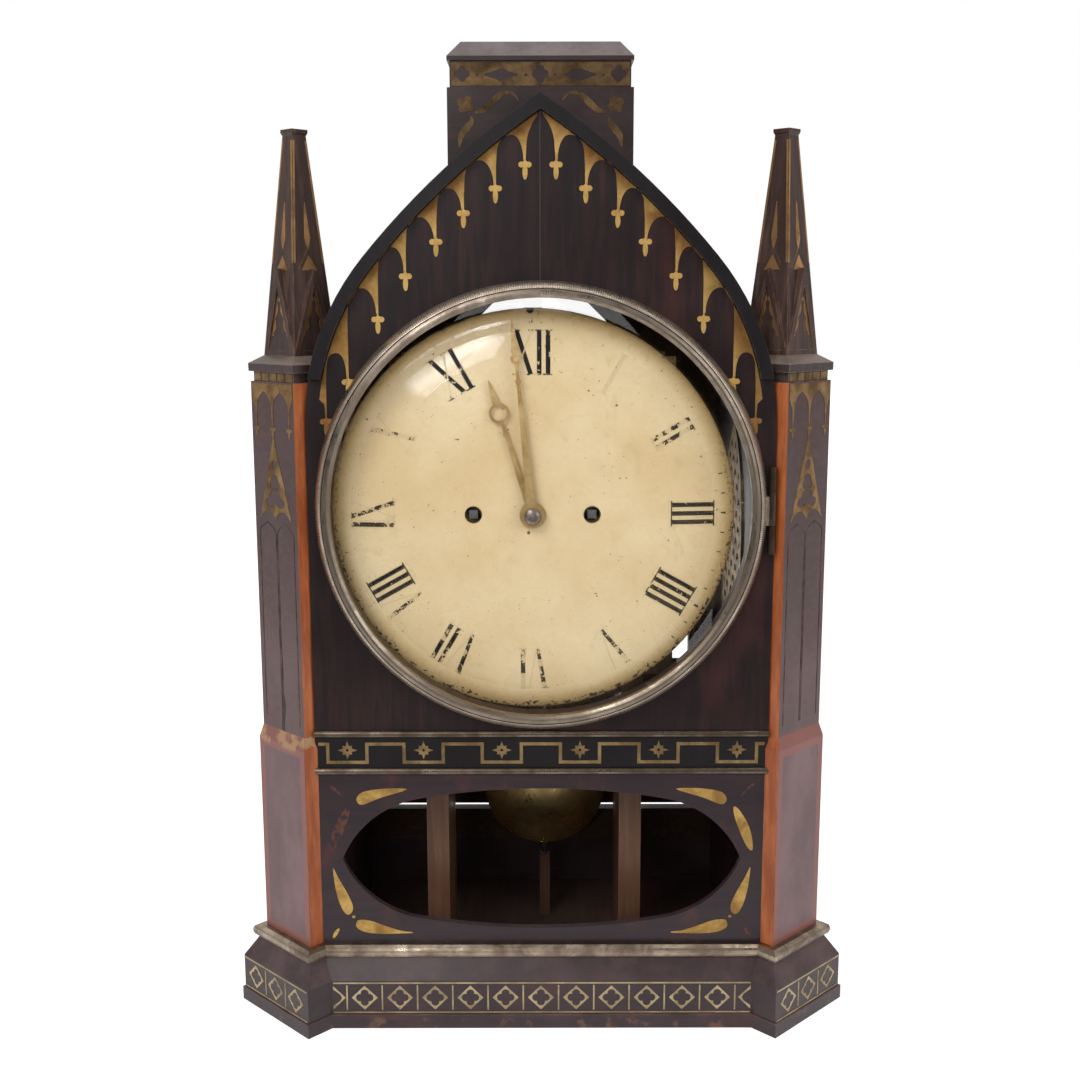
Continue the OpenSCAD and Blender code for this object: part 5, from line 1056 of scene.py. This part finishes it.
def wound_gut(side, word):
    """A twisted gut line from its barrel, across to the fusee and round the fusee's large end."""
    off = Vector((side * (BARREL_X - ARBOR_X), BARREL_DOWN))
    first = TURNS - ON_FUSEE + 0.5
    start = math.atan2(-off.y, -off.x) - math.acos((DRUM_R - seat(first)) / off.length)

    def turned(x, y, r, turn, depth):
        return (x + r * math.cos(turn), y + r * math.sin(turn), depth, turn)
    path = []
    for i in range(ON_BARREL * STEPS + 1):
        turn = start + 2 * math.pi * i / STEPS
        path.append(turned(off.x, off.y, DRUM_R, turn, PITCH * first * i / (ON_BARREL * STEPS)))
    leave, meet = path[-1], turned(0, 0, seat(first), start, PITCH * first)
    for i in range(1, STRAIGHT_STEPS):
        path.append(tuple(a + (b - a) * i / STRAIGHT_STEPS for a, b in zip(leave[:3], meet)) + (start,))
    for i in range(ON_FUSEE * STEPS + 1):
        turn = first + i / STEPS
        path.append(turned(0, 0, seat(turn), start + 2 * math.pi * i / STEPS, PITCH * turn))
    along = Vector((-math.sin(start), math.cos(start), 0)) * TUCK
    head, tail = Vector(path[0][:3]) - along, Vector(path[-1][:3]) + along
    path = [(*head, start)] + path + [(*tail, start)]
    corners, faces, run = [], [], 0.0
    for i, (x, y, z, turn) in enumerate(path):
        if i:
            run += (Vector(path[i][:3]) - Vector(path[i - 1][:3])).length
        for k in range(LINE_SIDES):
            t = 2 * math.pi * k / LINE_SIDES
            r = LINE_R * (0.95 + 0.09 * math.cos(3 * t - 2 * math.pi * run / LAY))
            near = r * math.cos(t)
            corners.append(place(DIAL_X + side * ARBOR_X + x + math.cos(turn) * near,
                                 ARBOR_Y + z + r * math.sin(t), DIAL_Z - y - math.sin(turn) * near))
    rings = [range(i * LINE_SIDES, (i + 1) * LINE_SIDES) for i in range(len(path))]
    for ring, next_ring in zip(rings, rings[1:]):
        for k in range(LINE_SIDES):
            faces.append((ring[k - 1], ring[k], next_ring[k], next_ring[k - 1]))
    faces += [tuple(rings[0])[::-1], tuple(rings[-1])]
    mesh = bpy.data.meshes.new(f"{word}_gut")
    mesh.from_pydata(corners, [], faces)
    piece = bpy.data.objects.new(f"{word}_gut", mesh)
    bpy.context.scene.collection.objects.link(piece)
    only(piece)
    bpy.ops.object.mode_set(mode="EDIT")
    bpy.ops.mesh.select_all(action="SELECT")
    bpy.ops.mesh.normals_make_consistent(inside=False)
    bpy.ops.object.mode_set(mode="OBJECT")
    line = f"{word}_line"
    done(piece, nodes[line]["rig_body"], "gut_line")
    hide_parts(line)


wound_gut(1, "time")
wound_gut(-1, "strike")


# Fittings
def set_down(piece, at, way):
    """Moves a piece made upright at the origin to a point of the case, facing a direction."""
    turn = Vector(way).to_track_quat("Z", "Y").to_matrix().to_4x4()
    piece.data.transform(Matrix.Translation(place(*at)) @ turn)


def apply_modifier(piece, kind, **settings):
    modifier = piece.modifiers.new(kind.lower(), kind)
    for name, value in settings.items():
        setattr(modifier, name, value)
    only(piece)
    bpy.ops.object.modifier_apply(modifier=modifier.name)


def turned_cap(name, rows, at, sides):
    """A turned piece on the minute hand, from its radii and heights in mm."""
    radius = rows[0][0] / 1000
    piece = added(bpy.ops.mesh.primitive_circle_add, vertices=sides, radius=radius, fill_type="NGON")
    piece.name = name
    bpy.ops.object.mode_set(mode="EDIT")
    for (r, h), (next_r, next_h) in zip(rows, rows[1:]):
        bpy.ops.mesh.extrude_region_move(TRANSFORM_OT_translate={"value": (0, 0, (next_h - h) / 1000)})
        bpy.ops.transform.resize(value=(next_r / r, next_r / r, 1))
    bpy.ops.mesh.select_all(action="SELECT")
    bpy.ops.mesh.normals_make_consistent(inside=False)
    bpy.ops.object.mode_set(mode="OBJECT")
    set_down(piece, at, (0, -1, 0))
    done(piece, "centre", "cap_steel")


def screw(name, at, r, body="case_and_frame", slot_turn=0.4, high=None):
    """A cheese-headed screw with its slot, seen from behind."""
    high = high or 0.55 * r
    head = added(bpy.ops.mesh.primitive_cylinder_add, vertices=32, radius=r / 1000, depth=high / 1000,
                 location=(0, 0, high / 2000))
    head.name = name
    bpy.ops.object.transform_apply(location=True)
    apply_modifier(head, "BEVEL", width=0.18 * r / 1000, segments=2, limit_method="ANGLE")
    tool = added(bpy.ops.mesh.primitive_cube_add, size=1, location=(0, 0, high / 1000))
    tool.scale = (2.4 * r / 1000, 0.24 * r / 1000, 0.9 * high / 1000)
    tool.rotation_euler = (0, 0, slot_turn)
    apply_modifier(head, "BOOLEAN", operation="DIFFERENCE", object=tool, solver="EXACT")
    bpy.data.objects.remove(tool)
    set_down(head, at, (0, 1, 0))
    done(head, body, "blue_steel" if r > 1.5 else "steel")


# Cap and pin end over the hands
HANDS_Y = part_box("minute_hand")[0].y * 1000 + MIDDLE_Y
turned_cap("hand_cap", [(4.3, 0.0), (4.3, 0.5), (4.05, 0.95), (3.4, 1.5), (2.6, 1.85), (1.2, 2.0)],
           (DIAL_X, HANDS_Y, DIAL_Z), 48)
turned_cap("hand_pin_end", [(1.3, 0.0), (1.3, 0.7), (0.9, 1.1)],
           (DIAL_X + 0.2, HANDS_Y - 1.95, DIAL_Z - 0.2), 24)

# Screws of the rear hinges, the latch, the cock and the bell's strap
for hinge, low in (("low", 95), ("high", 205)):
    for k, z in enumerate((5, 15, 25)):
        screw(f"hinge_screw_{hinge}_case_{k}", (-107.7, 169.0, low + z), 1.35, slot_turn=0.4 + k)
        screw(f"hinge_screw_{hinge}_door_{k}", (-97.0, 169.0, low + z), 1.35, "rear_door", 1.3 + 0.8 * k)
screw("latch_screw", (109.7, 170.0, 160.0), 2.2, "latch", 0.9, 0.45)
for side, word in SIDES:
    screw(f"cock_screw_{word}", (2.01 + 22 * side, 109.5, 338.1), 2.4, slot_turn=0.7 * side)
screw("bell_strap_screw", (-38.2, 102.5, 340.5), 2.4, slot_turn=1.1)

# Board behind the lower part of the rear door's glass, in metres
BOARD_TOP, BOARD_Y, BOARD_THICK, BOARD_GAP = 0.157, 0.0822, 0.003, 0.002
LOW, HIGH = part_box("rear_door_glass")
board = added(bpy.ops.mesh.primitive_cube_add, size=1,
              location=((LOW.x + HIGH.x) / 2, BOARD_Y, (LOW.z + BOARD_TOP) / 2))
board.name = "door_board"
board.scale = (HIGH.x - LOW.x - BOARD_GAP, BOARD_THICK, BOARD_TOP - LOW.z)
bpy.ops.object.transform_apply(location=True, scale=True)
apply_modifier(board, "BEVEL", width=0.0007, segments=2)
done(board, "rear_door", "stained_oak")


def door_opening(half, head_r):
    """Half of the rear door's lancet outline, from its foot to its point."""
    middle = half - head_r
    return [(half, 60.5)] + arc(middle, 230.0, head_r, 0, math.acos(-middle / head_r), 24)


# Bead inside the case that the rear door shuts against
outside, inside = door_opening(106.0, 214.0), door_opening(99.5, 207.5)
sheet("door_stop", [outside + flipped(outside)[1:] + flipped(inside)[::-1] + inside[::-1][1:]],
      front_plane(158.55), "stained_oak", 1.4)


# Floor, lights and camera
def floor_finish():
    """White paper: plain to the camera apart from the shadow, and near at hand as reflections see it."""
    r, shader = start_finish("pale_floor")
    spot = r.spot()
    colour = r.blend(r.step(r.noise(spot, 6, 3), 0.3, 0.7), (0.80, 0.80, 0.80), (0.84, 0.84, 0.84))
    path = r.add("LightPath").outputs
    near = r.step(r.spread(spot)[1], -0.60, -0.14, 0.05, 1.0)
    lost = r.times(path["Is Glossy Ray"], r.minus(1.0, near))
    shine = r.times(path["Is Glossy Ray"], near, 0.5)
    plain = r.most(path["Is Camera Ray"], path["Is Transmission Ray"], shine)
    strength = r.times(plain, r.step(r.length(spot), 0.8, 3.0, 0.62, 0.95))
    finish_with(r, shader, r.blend(lost, colour, (0.02, 0.02, 0.02)), 0.6,
                Emission_Color=(1, 1, 1), Emission_Strength=strength)


def lamp(name, at, towards, size, power, roll=0.0):
    light = bpy.data.lights.new(name, "AREA")
    light.shape = "RECTANGLE"
    light.size, light.size_y = size
    light.energy = power
    piece = bpy.data.objects.new(name, light)
    piece.location = at
    piece.rotation_euler = (Vector(towards) - Vector(at)).to_track_quat("-Z", "Y").to_euler()
    piece.rotation_euler.rotate_axis("Z", roll)
    bpy.context.scene.collection.objects.link(piece)


def sky():
    """White all round and above, dark only on the photographer's side, as polished surfaces see it."""
    world = bpy.context.scene.world = bpy.data.worlds.new("studio")
    world.use_nodes = True
    r = Recipe(world.node_tree)
    back = r.tree.nodes["Background"].inputs
    path = r.add("LightPath").outputs
    way = r.spread(r.add("TexCoord").outputs["Generated"])
    around = r.times(r.step(way[1], -0.5, 0.02, 0.05, 1.0), r.step(way[2], 0.15, 0.7, 0.5, 0.9))
    shine, soft = r.times(path["Is Glossy Ray"], around), r.times(path["Is Diffuse Ray"], 0.34)
    r.give(back["Color"], (1, 1, 1))
    r.give(back["Strength"], r.most(path["Is Camera Ray"], path["Is Transmission Ray"], shine, soft))


floor_finish()
floor = added(bpy.ops.mesh.primitive_circle_add, vertices=96, radius=7.0, fill_type="NGON",
              location=(0, 0, -0.0002))
floor.name = "floor"
bpy.ops.object.transform_apply(location=True)
dress(floor, "pale_floor")
sky()
lamp("key_light", (-1.1, -1.9, 1.9), (0, 0, 0.25), (1.2, 1.2), 32)
lamp("window_strip", (-0.385, -2.21, 0.76), (0, 0, 0.35), (0.62, 0.05), 3.2, 0.64)
lamp("fill_light", (1.7, -1.6, 1.0), (0, 0, 0.25), (1.4, 1.4), 16)
lamp("top_light", (0.0, 0.2, 2.1), (0, 0, 0.2), (1.6, 1.2), 14)

# The camera of the photograph: where it stood, how far from level it looked, and its lean
lens = bpy.data.cameras.new("camera")
lens.sensor_width = 36
lens.lens = 45.62
lens.clip_start = 0.01
camera = bpy.data.objects.new("camera", lens)
camera.location = (-0.00056, -0.7523, 0.3806)
camera.rotation_mode = "QUATERNION"
tilt, lean = Matrix.Rotation(math.radians(79.94), 4, "X"), Matrix.Rotation(math.radians(-0.1), 4, "Z")
camera.rotation_quaternion = (tilt @ lean).to_quaternion()
bpy.context.scene.collection.objects.link(camera)
bpy.context.scene.camera = camera
bpy.context.scene.view_settings.view_transform = "Standard"
